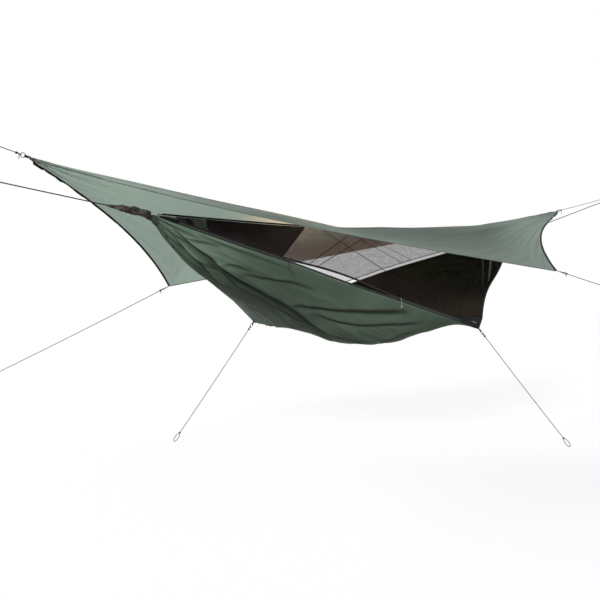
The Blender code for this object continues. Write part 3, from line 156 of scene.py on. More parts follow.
# Rings, tabs and cords
RING_RADIUS = 0.0105
RING_WIRE = 0.0030
TAB_LENGTH = 0.016
TAB_WIDTH = 0.010
TAB_THICKNESS = 0.0010
TAB_ROOM = 0.0006
TAB_STEP = 0.001
TAB_STRAP = 0.04
GUY_DIAMETER = 0.0038
LINE_DIAMETER = 0.0054
GUY_SAG_SHARE = 0.004
KNOT_LENGTH = 0.011
KNOT_REACH = 0.0042
LOOP_LENGTH = 0.055
LOOP_HALF_WIDTH = 0.010
TAIL_LENGTH = 0.024
TAIL_START = 0.0004
TAIL_STEP = 0.0015
SIDE_GUY_RUN = 0.740
# Fly corners: direction that the line leaves in, what the tab lies flat to, and the line's run
FLY_LINES = (("left", (-1.0, 0.0, 0.290), -ACROSS, 0.200), ("right", (1.0, 0.0, 0.225), -ACROSS, 0.660),
             ("near", (0.60, -0.50, -0.265), UP, 0.400), ("far", (-0.60, 0.50, -0.377), UP, 1.250))
# Suspension: which end, its way along the ridge, run and slope
SUSPENSIONS = (("left", -1, 0.760, 0.143), ("right", 1, 1.210, 0.285))
SLEEVE_RADIUS = 0.0185
SLEEVE_WALL = 0.0012
SLEEVE_LENGTH = 0.212
SLEEVE_OVERLAP = 0.040
SLEEVE_LUMP = 0.004
SLEEVE_CRUSH = 0.0022
SLEEVE_SIZE = (0.17, 0.10)
SLEEVE_PROFILE = ((0.0, 0.80), (0.10, 1.0), (0.24, 0.86), (0.36, 1.0), (0.52, 0.72), (0.66, 0.60),
                  (0.80, 0.30), (0.90, 0.20), (1.0, 0.0))

# Ridge organiser
POCKET_START = -1.030
POCKET_LENGTH = 0.610
POCKET_DEPTH = 0.165
POCKET_SLANT = 0.150
POCKET_DROP = 0.007
POCKET_BOW = 0.008
POCKET_WALL = 0.0010
TRIM_LIFT = 0.0009
TRIM_WIDE = 0.0050
TRIM_NARROW = 0.0022

# Rain fly
FLY_STEP = 0.014
FLY_SIZE = (3.8, 1.7)
FLY_REACH = 1.900
FLY_RISE = 0.210
FLY_THICKNESS = 0.0008
FLY_NEAR = (0.880, -0.690, -0.270)
FLY_FAR = (-0.900, 0.710, -0.340)
FLY_HEM_SAG = 0.046
FLY_FAR_HEM_SAG = 0.0055
FLY_HEM_POWER = 0.75
FLY_HOLLOW_LEFT = 0.069
FLY_HOLLOW_RIGHT = 0.113
FLY_HOLLOW_LEFT_POWER = 1.10
FLY_HOLLOW_RIGHT_POWER = 1.35
FLY_BINDING_WIDTH = 0.012
FLY_BINDING_LENGTH = 1.2
FLY_BINDING_THICKNESS = 0.0016
FLY_HEM_WIDTH = 0.008
FLY_HEM_LENGTH = 3.0
FLY_HEM_LEAST = 0.001
FLY_HEM_THICKNESS = 0.0026
FLY_SEAM_WIDTH = 0.008
FLY_SEAM_LIFT = 0.0014
FLY_SEAM_SIZE = (3.8, 0.012)
FLY_TIP_CUT = 0.008
FLY_REST_LIFT = 0.0061
FLY_WAVE_HEIGHT = 0.004
FLY_WRINKLE_HEIGHT = 0.014
FLY_PULL_HEIGHT = 0.0035
FLY_PULL_REACH = 0.22
FLY_RIDGE_SHARES = ((-1.0, 1.0), (-0.906, 0.871), (-0.758, 0.709), (-0.629, 0.563), (-0.487, 0.41),
                    (-0.373, 0.30), (-0.25, 0.173), (-0.163, 0.075), (-0.085, 0.0), (0.0, 0.03), (0.075, 0.07),
                    (0.179, 0.10), (0.405, 0.23), (0.528, 0.313), (0.593, 0.402), (0.727, 0.578),
                    (0.87, 0.782), (1.0, 1.0))
FLY_REST_SHARE = -0.085

# Camera, from the fitted view of the photograph, and light
CAMERA_PLACE = (-2.714, -3.180, -0.391)
CAMERA_YAW = math.radians(-35.39)
CAMERA_PITCH = math.radians(-0.51)
CAMERA_ROLL = math.radians(-0.41)
CAMERA_LENS = 42.35
CAMERA_SENSOR = 36.0
CAMERA_CLIP = (0.05, 200.0)
FLOOR_HEIGHT = -1.300
FLOOR_SIZE = 60.0
FLOOR_TONE = (0.080, 0.064, 0.048)
BODY_GREEN = (0.232, 0.334, 0.252)
WHITE = (1.0, 1.0, 1.0, 1.0)
SKY_STRENGTH = 0.36
ORIGIN = (0.0, 0.0, 0.0)
# Lamps: name, kind, strength, place, what it shines at, and other settings
LAMPS = (("sun", "SUN", 2.3, (-0.40, 0.75, 0.52), ORIGIN, {"angle": math.radians(25)}),
         ("key", "SUN", 2.0, (-0.75, -0.50, 0.50), ORIGIN, {"angle": math.radians(14)}),
         ("glint", "SPOT", 170.0, (-0.55, 0.60, 0.80), (-0.45, 0.05, 0.02),
          {"color": (1.0, 0.91, 0.78), "spot_size": math.radians(26), "spot_blend": 1.0,
           "shadow_soft_size": 0.25}))


def turned(first, second, angle):
    """A direction turned from one towards another that is square to it."""
    return first * math.cos(angle) + second * math.sin(angle)


def bell(away, width):
    """1 at zero, falling to nothing over a few widths."""
    return math.exp(-(away / width) ** 2)


def ease(t):
    """A smooth step from 0 to 1."""
    t = min(max(t, 0.0), 1.0)
    return t * t * (3 - 2 * t)


def unit(way):
    """The direction of a vector."""
    return Vector(way).normalized()


def link(obj):
    """Put an object in the scene."""
    bpy.context.scene.collection.objects.link(obj)
    return obj


def set_camera():
    """The photograph's viewing angle."""
    level = Vector((-math.sin(CAMERA_YAW), math.cos(CAMERA_YAW), 0.0))
    forward = turned(level, UP, CAMERA_PITCH)
    right = Vector((math.cos(CAMERA_YAW), math.sin(CAMERA_YAW), 0.0))
    up = right.cross(forward)
    right, up = turned(right, up, CAMERA_ROLL), turned(up, -right, CAMERA_ROLL)
    data = bpy.data.cameras.new("photo_camera")
    data.lens = CAMERA_LENS
    data.sensor_width = CAMERA_SENSOR
    data.clip_start, data.clip_end = CAMERA_CLIP
    camera = link(bpy.data.objects.new("photo_camera", data))
    camera.matrix_world = Matrix.Translation(CAMERA_PLACE) @ Matrix(
        [[right[row], up[row], -forward[row]] for row in range(3)]).to_4x4()
    bpy.context.scene.camera = camera


class Shade:
    """A material or world being built: short names for its nodes and links."""

    def __init__(self, owner):
        self.owner = bpy.data.materials.new(owner) if isinstance(owner, str) else owner
        self.owner.use_nodes = True
        self.tree = self.owner.node_tree
        self.shader = self.tree.nodes.get("Principled BSDF")

    def node(self, kind, inputs=(), **settings):
        """Add a node; inputs are (socket, value or source socket)."""
        made = self.tree.nodes.new("ShaderNode" + kind)
        for key, value in settings.items():
            setattr(made, key, value)
        for socket, value in inputs:
            self.feed(made.inputs[socket], value)
        return made

    def feed(self, socket, value):
        """Set a socket to a value or link it to another socket."""
        if isinstance(value, bpy.types.NodeSocket):
            self.tree.links.new(value, socket)
        else:
            socket.default_value = value

    def set(self, **values):
        """Set the shader's own sockets and give the material."""
        for key, value in values.items():
            self.feed(self.shader.inputs[key.replace("_", " ")], value)
        return self.owner

    def math(self, operation, first, second=0.0, **settings):
        """A Math node's result."""
        return self.node("Math", [(0, first), (1, second)], operation=operation, **settings).outputs[0]

    def vector(self, operation, *values):
        """A Vector Math node."""
        return self.node("VectorMath", list(enumerate(values)), operation=operation).outputs

    def ramp(self, factor, *stops):
        """A colour ramp's colour; stops are (place, grey level or colour)."""
        made = self.node("ValToRGB", [(0, factor)])
        ramp = made.color_ramp
        while len(ramp.elements) < len(stops):
            ramp.elements.new(0.5)
        for element, (place, colour) in zip(ramp.elements, stops):
            element.position = place
            element.color = (*colour, 1.0) if isinstance(colour, tuple) else (colour, colour, colour, 1.0)
        return made.outputs[0]

    def mix(self, share, first, second, blend="MIX"):
        """Two colours mixed."""
        return self.node("Mix", [("Factor", share), (6, first), (7, second)], data_type="RGBA",
                         blend_type=blend).outputs[2]

    def noise(self, scale, detail, where="Object", roughness=0.5):
        """A cloudy pattern."""
        return self.node("TexNoise", [("Vector", self.node("TexCoord").outputs[where]), ("Scale", scale),
                                      ("Detail", detail), ("Roughness", roughness)]).outputs["Fac"]

    def threads(self, pitch, direction, distortion=0.0, detail=0.0, where="UV"):
        """Threads side by side at that pitch."""
        return self.node("TexWave", [("Vector", self.node("TexCoord").outputs[where]), ("Scale", 1 / pitch / 2),
                                     ("Distortion", distortion), ("Detail", detail)],
                         bands_direction=direction).outputs["Fac"]

    def weave(self, pitch, distortion, detail):
        """Threads both ways."""
        return self.math("MAXIMUM", *(self.threads(pitch, way, distortion, detail) for way in "XY"))

    def bump(self, strength, distance, height, *normal):
        """The relief of a height pattern, over another relief if one is given."""
        made = self.node("Bump", [("Strength", strength), ("Distance", distance), ("Height", height)])
        for below in normal:
            self.feed(made.inputs["Normal"], below)
        return made.outputs[0]

    def show(self, share, first, second, output="Material Output"):
        """Show two shaders mixed."""
        mix = self.node("MixShader", [(0, share), (1, first.outputs[0]), (2, second.outputs[0])])
        self.feed(self.tree.nodes[output].inputs["Surface"], mix.outputs[0])

    def seen(self):
        """1 for what the camera sees, also in metal or through glass, and 0 for the light on the object."""
        path = self.node("LightPath").outputs
        return self.math("MAXIMUM", path["Is Camera Ray"],
                         self.math("MAXIMUM", path["Is Glossy Ray"], path["Is Transmission Ray"]))

    def near(self, centre, size, colour, other):
        """The colour, turning into the other one inside an ellipsoid of the object's own space."""
        body = self.node("TexCoord").outputs["Object"]
        away = self.vector("DIVIDE", self.vector("SUBTRACT", body, centre)[0], size)[0]
        away = self.vector("LENGTH", away)["Value"]
        return self.mix(self.ramp(away, (0.3, 1.0), (1.0, 0.0)), colour, (*other, 1.0))


def scaled(colour, factor):
    """A colour made lighter or darker."""
    return tuple(min(part * factor, 1.0) for part in colour)


def cloth_shade(name, colour, pitch=0.0010, spread=0.18, roughness=0.62, bump=0.35, crumple=0.0, through=0.0,
                mottle_size=9.0, painted_light_strength=0.0, painted_glow=(), painted_light_patches=()):
    """Woven cloth: threads both ways at that pitch, mottled colour, and light that comes through."""
    made = Shade(name)
    weave = made.weave(pitch, 0.4, 1.0)
    cloud = made.noise(mottle_size, 5.0, roughness=0.55)
    shade = made.ramp(cloud, (0.30, scaled(colour, 1 - spread)), (0.70, scaled(colour, 1 + spread)))
    tone = made.mix(0.25, shade, made.ramp(weave, (0.0, 0.25), (1.0, 1.0)), "MULTIPLY")
    # Painted light: inside each of these ellipsoids the colour turns to a paler one, lighting cloth that the
    # lamps leave dark.
    for centre, size, pale in painted_light_patches:
        tone = made.near(centre, size, tone, pale)
    # Painted shade and highlight: the colour is multiplied by a ramp of the point attribute, dark in creases,
    # pleats and low down, lighter where painted highlight lies.
    if painted_light_strength:
        depth = made.node("Attribute", attribute_name="fold_and_painted_light").outputs["Fac"]
        fold_and_painted_light = made.ramp(depth, (0.0, 1.0), (0.10, 0.64), (0.28, 0.46), (0.80, 0.01))
        tone = made.mix(painted_light_strength, tone, fold_and_painted_light, "MULTIPLY")
    rough = made.ramp(cloud, (0.25, roughness - 0.08), (0.75, min(roughness + 0.10, 1.0)))
    relief = made.bump(bump, pitch * 0.35, weave)
    if crumple:
        relief = made.bump(crumple, 0.004, made.noise(26.0, 4.0), relief)
    if through:
        tint = (*scaled(tuple(part**0.5 for part in colour), 1 / max(colour)**0.5), 1.0)
        # Painted warm light: inside each of these ellipsoids the light that comes through turns cream or
        # pinkish brown, a painted pool of sunlight.
        for centre, size, warm in painted_glow:
            tint = made.near(centre, size, tint, warm)
        lit = made.node("BsdfTranslucent", [("Color", tint), ("Normal", relief)])
        made.show(through, made.shader, lit)
    return made.set(Base_Color=tone, Sheen_Roughness=0.4, Specular_IOR_Level=0.12, Roughness=rough,
                    Normal=relief)


def net_shade(name, colour, pitch, cover, gathered=0.0, reach=0.62):
    """Insect net: fine holes in a dark mesh; cover is the share of it that the threads fill.

    Towards both ends, beyond reach along the ridge, the gathered net covers that much more.
    """
    made = Shade(name)
    weave = made.weave(pitch, 0.0, 0.0)
    tone = made.ramp(made.noise(6.0, 3.0), (0.3, scaled(colour, 0.85)), (0.7, scaled(colour, 1.15)))
    holes = made.ramp(weave, (0.60, cover * 0.82), (0.92, min(cover * 1.25, 1.0)))
    along = made.node("SeparateXYZ", [(0, made.node("TexCoord").outputs["Object"])]).outputs[0]
    along = made.math("SUBTRACT", made.math("ABSOLUTE", along), reach)
    along = made.math("MULTIPLY", made.math("MULTIPLY", along, 2.6), gathered, use_clamp=True)
    streak = made.ramp(made.noise(42.0, 2.0, "UV"), (0.35, 0.9), (0.65, 1.1))
    holes = made.math("MULTIPLY", made.math("ADD", holes, along), streak)
    # The pleats make the net's cover denser in their folds, and a painted highlight in pale grey-purple lies
    # along their ridges.
    pleat = made.node("Attribute", attribute_name="fold_and_painted_light").outputs["Fac"]
    holes = made.math("ADD", holes, made.ramp(pleat, (0.30, 0.0), (0.85, 0.45)))
    tone = made.mix(made.ramp(pleat, (0.55, 0.0), (0.95, 1.0)), tone, (0.24, 0.20, 0.22, 1.0))
    return made.set(Base_Color=tone, Roughness=0.75, Alpha=holes, Specular_IOR_Level=0.1,
                    Normal=made.bump(0.3, 0.0003, weave))


def webbing_shade(name, colour, pitch=0.0012):
    """Ribbed tape or webbing."""
    made = Shade(name)
    ribs = made.threads(pitch, "X", 0.6, 2.0)
    tone = made.ramp(made.noise(60.0, 3.0), (0.3, scaled(colour, 0.75)), (0.75, scaled(colour, 1.5)))
    return made.set(Base_Color=tone, Roughness=made.ramp(ribs, (0.0, 0.85), (1.0, 0.62)),
                    Specular_IOR_Level=0.15, Normal=made.bump(0.6, 0.0004, ribs))


def cord_shade(name, colour, pitch=0.0022):
    """Braided cord with diagonal strands."""
    made = Shade(name)
    strands = made.threads(pitch, "DIAGONAL", 1.2, 1.0, "Object")
    tone = made.ramp(strands, (0.1, scaled(colour, 0.5)), (0.8, scaled(colour, 1.4)))
    return made.set(Base_Color=tone, Roughness=made.ramp(made.noise(40.0, 2.0), (0.2, 0.6), (0.8, 0.85)),
                    Normal=made.bump(0.7, 0.0005, strands))


def metal_shade(name, colour, roughness):
    """Drawn metal with fine scratches."""
    made = Shade(name)
    grain = made.noise(900.0, 4.0)
    tone = made.ramp(made.noise(120.0, 2.0), (0.3, scaled(colour, 0.85)), (0.7, scaled(colour, 1.05)))
    return made.set(Base_Color=tone, Metallic=1.0, Normal=made.bump(0.15, 0.0001, grain),
                    Roughness=made.ramp(grain, (0.2, roughness * 0.7), (0.8, roughness * 1.4)))


def plastic_shade(name, colour, roughness=0.4):
    """Moulded or extruded plastic with a fine grain."""
    made = Shade(name)
    grain = made.noise(700.0, 3.0)
    tone = made.ramp(grain, (0.3, scaled(colour, 0.8)), (0.7, scaled(colour, 1.3)))
    return made.set(Base_Color=tone, Normal=made.bump(0.2, 0.0002, grain),
                    Roughness=made.ramp(grain, (0.2, roughness * 0.8), (0.8, roughness * 1.3)))


def put(obj, shade, *nodes, body=ROOT):
    """Link a new piece, give it its material, ride it on its body and stand it for the CAD nodes."""
    link(obj)
    if not obj.data.materials:
        obj.data.materials.append(shade)
    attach(obj, body)
    if nodes:
        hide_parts(*nodes)
    return obj


def mesh_object(name, mesh):
    """An object from a finished mesh."""
    data = bpy.data.meshes.new(name)
    mesh.to_mesh(data)
    mesh.free()
    return bpy.data.objects.new(name, data)


def grid(name, columns, rows, place, thickness=0.0, size=(1.0, 1.0), closed=False, shades=(), fold_and_painted_light=None):
    """A sheet through place(u, v) with its UV map in metres; closed joins its two long borders.

    The function of (u, v) given last is written as a point attribute, which the painted shade and highlight in
    a cloth's or net's colour, and a net's cover, follow.
    """
    mesh = bmesh.new()
    layer = mesh.loops.layers.uv.new("UVMap")
    verts = [[mesh.verts.new(place(i / columns, j / rows)) for j in range(rows + (not closed))]
             for i in range(columns + 1)]
    count = len(verts[0])
    for i in range(columns):
        for j in range(rows):
            corners = ((i, j), (i + 1, j), (i + 1, j + 1), (i, j + 1))
            face = mesh.faces.new([verts[a][b % count] for a, b in corners])
            face.smooth = True
            for loop, (a, b) in zip(face.loops, corners):
                loop[layer].uv = (a / columns * size[0], b / rows * size[1])
    obj = mesh_object(name, mesh)
    if fold_and_painted_light:
        layer = obj.data.attributes.new("fold_and_painted_light", "FLOAT", "POINT")
        for index, value in enumerate(layer.data):
            value.value = fold_and_painted_light(index // count / columns, index % count / rows)
    for shade in shades:
        obj.data.materials.append(shade)
    if thickness:
        solid = obj.modifiers.new("thickness", "SOLIDIFY")
        solid.thickness = thickness
        solid.offset = 0.0
        solid.material_offset = max(len(shades) - 1, 0)
    return obj


def tube(name, points, diameter, sides=8, closed=False, shares=(1.0,)):
    """A mesh tube along a row of points; its width runs through the shares over and over."""
    mesh = bmesh.new()
    layer = mesh.loops.layers.uv.new("UVMap")
    count = len(points)
    normal = None
    rings, places = [], [0.0]
    for first, second in zip(points, points[1:]):
        places.append(places[-1] + (second - first).length)
    for index, point in enumerate(points):
        before = points[index - 1] if index or closed else point
        after = points[(index + 1) % count] if index < count - 1 or closed else point
        way = (after - before).normalized()
        normal = way.orthogonal().normalized() if normal is None else normal
        normal = (normal - way * normal.dot(way)).normalized()
        reach = diameter / 2 * shares[index % len(shares)]
        side = way.cross(normal)
        rings.append([mesh.verts.new(point + turned(normal, side, math.tau * step / sides) * reach)
                      for step in range(sides)])
    spans = list(zip(range(count - 1), range(1, count)))
    shift = 0
    if closed:
        spans.append((count - 1, 0))
        shift = min(range(sides), key=lambda turn: (rings[-1][0].co - rings[0][turn].co).length)
    around = math.pi * diameter / sides
    for start, end in spans:
        turn = 0 if end else shift
        for step in range(sides):
            after = (step + 1) % sides
            face = mesh.faces.new((rings[start][step], rings[start][after],
                                   rings[end][(after + turn) % sides], rings[end][(step + turn) % sides]))
            face.smooth = True
            low, high = places[start], places[min(start + 1, count - 1)]
            for loop, uv in zip(face.loops, ((low, step), (low, step + 1), (high, step + 1), (high, step))):
                loop[layer].uv = (uv[0], uv[1] * around)
    if not closed:
        mesh.faces.new(rings[0][::-1])
        mesh.faces.new(rings[-1])
    bmesh.ops.recalc_face_normals(mesh, faces=mesh.faces[:])
    return mesh_object(name, mesh)


def smooth_path(points, step):
    """A smooth row of points through the given ones, about one step apart."""
    found = [points[0]]
    padded = [points[0] * 2 - points[1], *points, points[-1] * 2 - points[-2]]
    for a, b, c, d in zip(padded, padded[1:], padded[2:], padded[3:]):
        pieces = max(int((c - b).length / step), 1)
        for index in range(1, pieces + 1):
            t = index / pieces
            found.append(((b * 2) + (c - a) * t + (a * 2 - b * 5 + c * 4 - d) * t * t
                          + (b * 3 - a - c * 3 + d) * t * t * t) / 2)
    return found


def smooth_value(shares, place):
    """Read a smooth curve through (place, value) pairs, without overshoot between equal values."""
    if place <= shares[0][0]:
        return shares[0][1]
    if place > shares[-1][0]:
        return shares[-1][1]
    rises = [(y1 - y0) / (x1 - x0) for (x0, y0), (x1, y1) in zip(shares, shares[1:])]

    def slope(at):
        before, after = rises[max(at - 1, 0)], rises[min(at, len(rises) - 1)]
        if at in (0, len(rises)):
            return after if at == 0 else before
        return 0.0 if before * after <= 0 else 2 * before * after / (before + after)

    index = next(number for number, pair in enumerate(shares[1:]) if place <= pair[0])
    (x0, y0), (x1, y1) = shares[index], shares[index + 1]
    t = (place - x0) / (x1 - x0)
    start, end = slope(index) * (x1 - x0), slope(index + 1) * (x1 - x0)
    return ((2 * t**3 - 3 * t**2 + 1) * y0 + (t**3 - 2 * t**2 + t) * start
            + (3 * t**2 - 2 * t**3) * y1 + (t**3 - t**2) * end)


def ridge_height(x):
    """Height of the ridge line's middle at a place along it."""
    return -RIDGE_SAG * (1 - min(abs(x) / RIDGE_HALF, 1.0) ** 2)


class Side:
    """One net's plane: x runs along the ridge and q runs down the net from the ridge line."""

    def __init__(self, sign, along, out, drop):
        self.sign = sign
        self.corner_x = along
        self.slope = math.hypot(out, drop)
        self.down = Vector((0.0, sign * out / self.slope, -drop / self.slope))
        self.normal = Vector((0.0, sign * drop / self.slope, out / self.slope))

    def point(self, x, q, lift=0.0):
        """A place in the room; near the ridge the net follows the sag of the ridge line."""
        painted_light_patches = max(0.0, q - SAG_FADE_START) / SAG_FADE
        sag = ridge_height(x) * max(0.0, 1 - painted_light_patches)
        return Vector((x, 0.0, sag)) + self.down * q + self.normal * lift

    def run(self, x):
        """Length along the ridge of the edge on that side of the corner."""
        return RIDGE_HALF + self.corner_x if x < self.corner_x else RIDGE_HALF - self.corner_x

    def tilt(self, x):
        """How much longer a step down the net is than the same step square to the edge."""
        return math.hypot(self.run(x), self.slope) / self.run(x)

    def straight_edge(self, x):
        """Distance down the net of the straight line from a gathered end to the side corner."""
        return self.slope * (RIDGE_HALF + (x if x < self.corner_x else -x)) / self.run(x)


NEAR = Side(-1, CORNER_ALONG, CORNER_OUT, CORNER_DROP_NEAR)
FAR = Side(1, -CORNER_ALONG, CORNER_OUT, CORNER_DROP_FAR)

ZIP_TILT = math.hypot(RIDGE_HALF + CORNER_ALONG, NEAR.slope) / (RIDGE_HALF + CORNER_ALONG)
ZIP_CENTRE = EDGE_GAP + TAPE_WIDTH + GAP + COIL_DIAMETER / 2
ZIP_STACK = ZIP_CENTRE + COIL_DIAMETER / 2 + GAP + TAPE_WIDTH + GAP
BINDING_STACK = EDGE_GAP + BINDING_WIDTH + GAP
PATCH_START = CORNER_ALONG - PATCH_LEFT
PATCH_END = CORNER_ALONG + PATCH_RIGHT
CLOTH_END = RIDGE_HALF - GATHER_REACH
NET_END = CLOTH_END - GATHER_ROOM
BUNDLE_END = CLOTH_END + GAP + GATHER_LENGTH


def zip_x(length):
    """Place along the ridge of a point that far along the zip."""
    return length / ZIP_TILT - RIDGE_HALF


DOOR = (zip_x(SLIDER_LEFT), zip_x(SLIDER_RIGHT))


def door_share(x):
    """How far the door gapes at a place between the sliders."""
    start, end = DOOR
    return math.sin(math.pi * (x - start) / (end - start)) ** 1.3 if start < x < end else 0.0


def body_edge(side, x):
    """Edge of the hammock cloth, as a distance down the net's plane."""
    edge = side.straight_edge(x)
    if side is NEAR and x > PATCH_END:
        along = (x - PATCH_END) / (RIDGE_HALF - PATCH_END)
        return edge - NEAR_EDGE_RISE * math.sin(math.tau * along) * (1 - along)
    if side is NEAR:
        return edge + DOOR_DROOP * door_share(x)
    if x > side.corner_x:
        along = (x - side.corner_x) / (RIDGE_HALF - side.corner_x)
        edge -= FAR_EDGE_RISE * 4 * along * (1 - along)
    return edge


def inward(side, x, offset):
    """Distance down the net of a line that far above the hammock's edge."""
    return body_edge(side, x) - offset * side.tilt(x)


def near_band(x, offset, rise):
    """The same on the near net, with the door's lift."""
    return inward(NEAR, x, offset) - rise * (DOOR_LIFT + DOOR_DROOP) * door_share(x)


def patch_span(side):
    """Where a corner patch starts and ends along the ridge."""
    return (PATCH_START, PATCH_END) if side is NEAR else (-PATCH_END, -PATCH_START)


def patch_top(side, x):
    """Inner border of a corner patch."""
    start, end = patch_span(side)
    left = inward(side, start, ZIP_STACK if side is NEAR else BINDING_STACK)
    right = inward(side, end, BINDING_STACK)
    return left + (right - left) * (x - start) / (end - start)


def far_strip(x):
    """Upper border of the pale strip along the far net's long hem."""
    edge = body_edge(FAR, x)
    return edge - min((EDGE_GAP + FAR_STRIP) * FAR.tilt(x), edge * 0.5)


def net_hem(side, x):
    """Lower edge of a net panel."""
    start, end = patch_span(side)
    if start <= x <= end:
        return patch_top(side, x) - GAP
    if side is NEAR and x < start:
        return near_band(x, ZIP_STACK, 1.0)
    if side is FAR and x > end:
        return far_strip(x) - GAP
    return inward(side, x, BINDING_STACK)


def stops_through(stops, spacing):
    """Places along the ridge with one at each stop and the rest evenly between."""
    places = [stops[0]]
    for start, end in zip(stops, stops[1:]):
        count = max(int(round((end - start) / spacing)), 1)
        places += [start + (end - start) * (step + 1) / count for step in range(count)]
    return places


def band(name, side, places, top, bottom, rows, thickness, lift=None, fold_and_painted_light=None):
    """A strip or panel in a net's plane between two borders given down the net."""
    last = len(places) - 1

    def place(u, v):
        x = places[round(u * last)]
        high, low = top(x), bottom(x)
        return side.point(x, high + (low - high) * v, lift(x, v) if lift else 0.0)

    width = max(bottom(places[last // 2]) - top(places[last // 2]), BINDING_WIDTH)
    marked = (lambda u, v: fold_and_painted_light(places[round(u * last)], v)) if fold_and_painted_light else None
    return grid(name, last, rows, place, thickness, (places[-1] - places[0], width), fold_and_painted_light=marked)


def crease_height(x, v):
    """Outward height of the creases at a place on the cloth, and how much painted shade they put there."""
    bulge, spread = CREASE_BULGE_SHARES
    total, darkest = 0.0, 0.0
    for line, depth, half in BODY_CREASES:
        for along, across, share in ((x, v, 1.0), (-x, 1 - v, FAR_CREASE_SHARE)):
            start, end = line[0][0], line[-1][0]
            if not start < along < end:
                continue
            fade = min(CREASE_FADE, (end - start) / 2)
            strength = share * ease((along - start) / fade) * ease((end - along) / CREASE_FADE)
            away = (across - smooth_value(line, along)) / half
            step = ease(away + 0.5)
            above = bulge * bell(away, spread) * (1 - step)
            below = step * math.exp(-max(away - 0.5, 0.0) / 1.6)
            total += depth * strength * (above - below)
            # Painted shade in the crease valley, and a wide painted shadow below each deep crease.
            valley = bell(away - 0.35, 0.52) * min(depth / CREASE_DARK_DEPTH, 1.0)
            shadow = 0.42 * ease((depth - CREASE_DARK_DEPTH) / CREASE_DEEPER) * bell(away - 1.3, 1.2)
            darkest = max(darkest, strength ** 0.5 * valley, strength * shadow)
    return total, darkest


def fan_waves(v):
    """The wide and the narrow pleats that fan out of the gathers."""
    return math.sin(math.tau * (7 * v + 0.3)), math.sin(math.tau * (15 * v + 0.8))


def body_fold(x, v):
    """Folds: fans beside both gathers, long creases, and crumpled cloth between them."""
    place = 1 - abs(x) / RIDGE_HALF
    fan = bell(place, 0.24) * sum(height * wave for height, wave in zip(FAN_HEIGHTS, fan_waves(v)))
    lean = v - 0.22 * x
    ridges = 1 - 2 * abs(noise.noise(Vector((x * 2.3, lean * 9.0, 3.1))))
    rolls = 1 - 2 * abs(noise.noise(Vector((x * 5.1, lean * 17.0, 7.7))))
    fine = noise.noise(Vector((x * 17.0, v * 33.0, 1.3)))
    parts = (ridges * ridges, rolls * rolls, fine)
    crumple = sum(height * part for height, part in zip(CRUMPLE_HEIGHTS, parts))
    creases = crease_height(x, v)[0] * min(0.30 + place / 0.45, 1.0)
    height = creases + crumple * min(place / 0.30, 1.0) + fan
    return height * math.sin(math.pi * v) ** 0.8 * min(place / 0.07, 1.0)


def body_point(x, v):
    """A place on the hammock cloth, from the near edge at 0 to the far edge at 1."""
    near, far = (side.point(x, body_edge(side, x)) for side in (NEAR, FAR))
    taut = bell(x - (NEAR if v < 0.5 else FAR).corner_x, BODY_TAUT_WIDTH)
    power = BODY_SHAPE_POWER + (BODY_TAUT_POWER - BODY_SHAPE_POWER) * taut
    hang = BODY_SAG * smooth_value(BODY_SAG_SHARES, x / RIDGE_HALF) * (1 - abs(2 * v - 1) ** power)
    return near.lerp(far, v) - UP * hang + unit((0.0, 2 * v - 1, -1.0)) * body_fold(x, v)


def body_painted_light(x, v):
    """Painted shade on the cloth: in creases and pleats, low down and where the light misses it, less of it
    where painted highlight lies at the upper left and on the crease bulges.
    """
    wide, narrow = fan_waves(v)
    gathered = 0.5 * bell(1 - abs(x) / RIDGE_HALF, 0.13) * max(-wide - 0.6 * narrow, 0.0)
    height, darkest = crease_height(x, v)
    low = 0.16 * bell(v - 0.46, 0.14) + 0.06 * bell(x + 0.62, 0.30)
    # Painted highlight at the upper left of the near side and on the tops of the crease bulges.
    lit = 0.10 * bell(x + 1.0, 0.30) * bell(v, 0.22)
    lit += 0.10 * ease(height / CREASE_LIT_HEIGHT) * ease((-0.75 - x) / 0.3)
    return min(0.10 + max(darkest, gathered) + low - lit, 1.0)


def make_body(outside, inside):
    """The hammock cloth with its folds."""
    places = stops_through((-CLOTH_END, -CORNER_ALONG, CORNER_ALONG, PATCH_END, NET_END, CLOTH_END), BODY_STEP)
    last = len(places) - 1
    # The inner side has its own darker material: painted shade inside the hammock.
    body = grid("hammock_cloth", last, 200, lambda u, v: body_point(places[round(u * last)], v),
                BODY_THICKNESS, BODY_SIZE, shades=(inside, outside),
                fold_and_painted_light=lambda u, v: body_painted_light(places[round(u * last)], v))
    put(body, outside, "hammock_body")


def net_ripple(side, x, v):
    """How far a net stands off its plane: soft drape, and gathered folds beside the corner."""
    drape = NET_DRAPE * math.sin(math.pi * v) * math.sin(math.pi * x / SAG_FADE)
    return drape + NET_PLEAT_HEIGHT * net_pleat(side, x, v)


def net_pleat(side, x, v):
    """The pleats that fan out of the side corner, from -1 to 1."""
    fan = -side.sign * (x - side.corner_x) / max(side.slope * 1.06 - net_hem(side, x) * v, 0.03)
    strength = bell(fan - 0.84, 0.24) * ease(v / 0.12) * ease((1 - v) / 0.04)
    return strength * math.sin(math.tau * (fan + 0.03 * math.sin(11 * fan)) / 0.105)


def make_seam(name, side, ridge_x, hem_x, top, shade):
    """A felled seam that runs down a net."""
    bottom = net_hem(side, hem_x) - GAP * 4

    def place(u, v):
        x = ridge_x + (hem_x - ridge_x) * u + SEAM_WIDTH * (v - 0.5)
        q = top + (bottom - top) * u
        level = (q - top) / max(net_hem(side, x) - top, top)
        return side.point(x, q, NET_THICKNESS + GAP + net_ripple(side, x, min(level, 1.0)))

    return put(grid(name, 60, 2, place, NET_THICKNESS, (SEAM_LENGTH, SEAM_WIDTH)), shade)


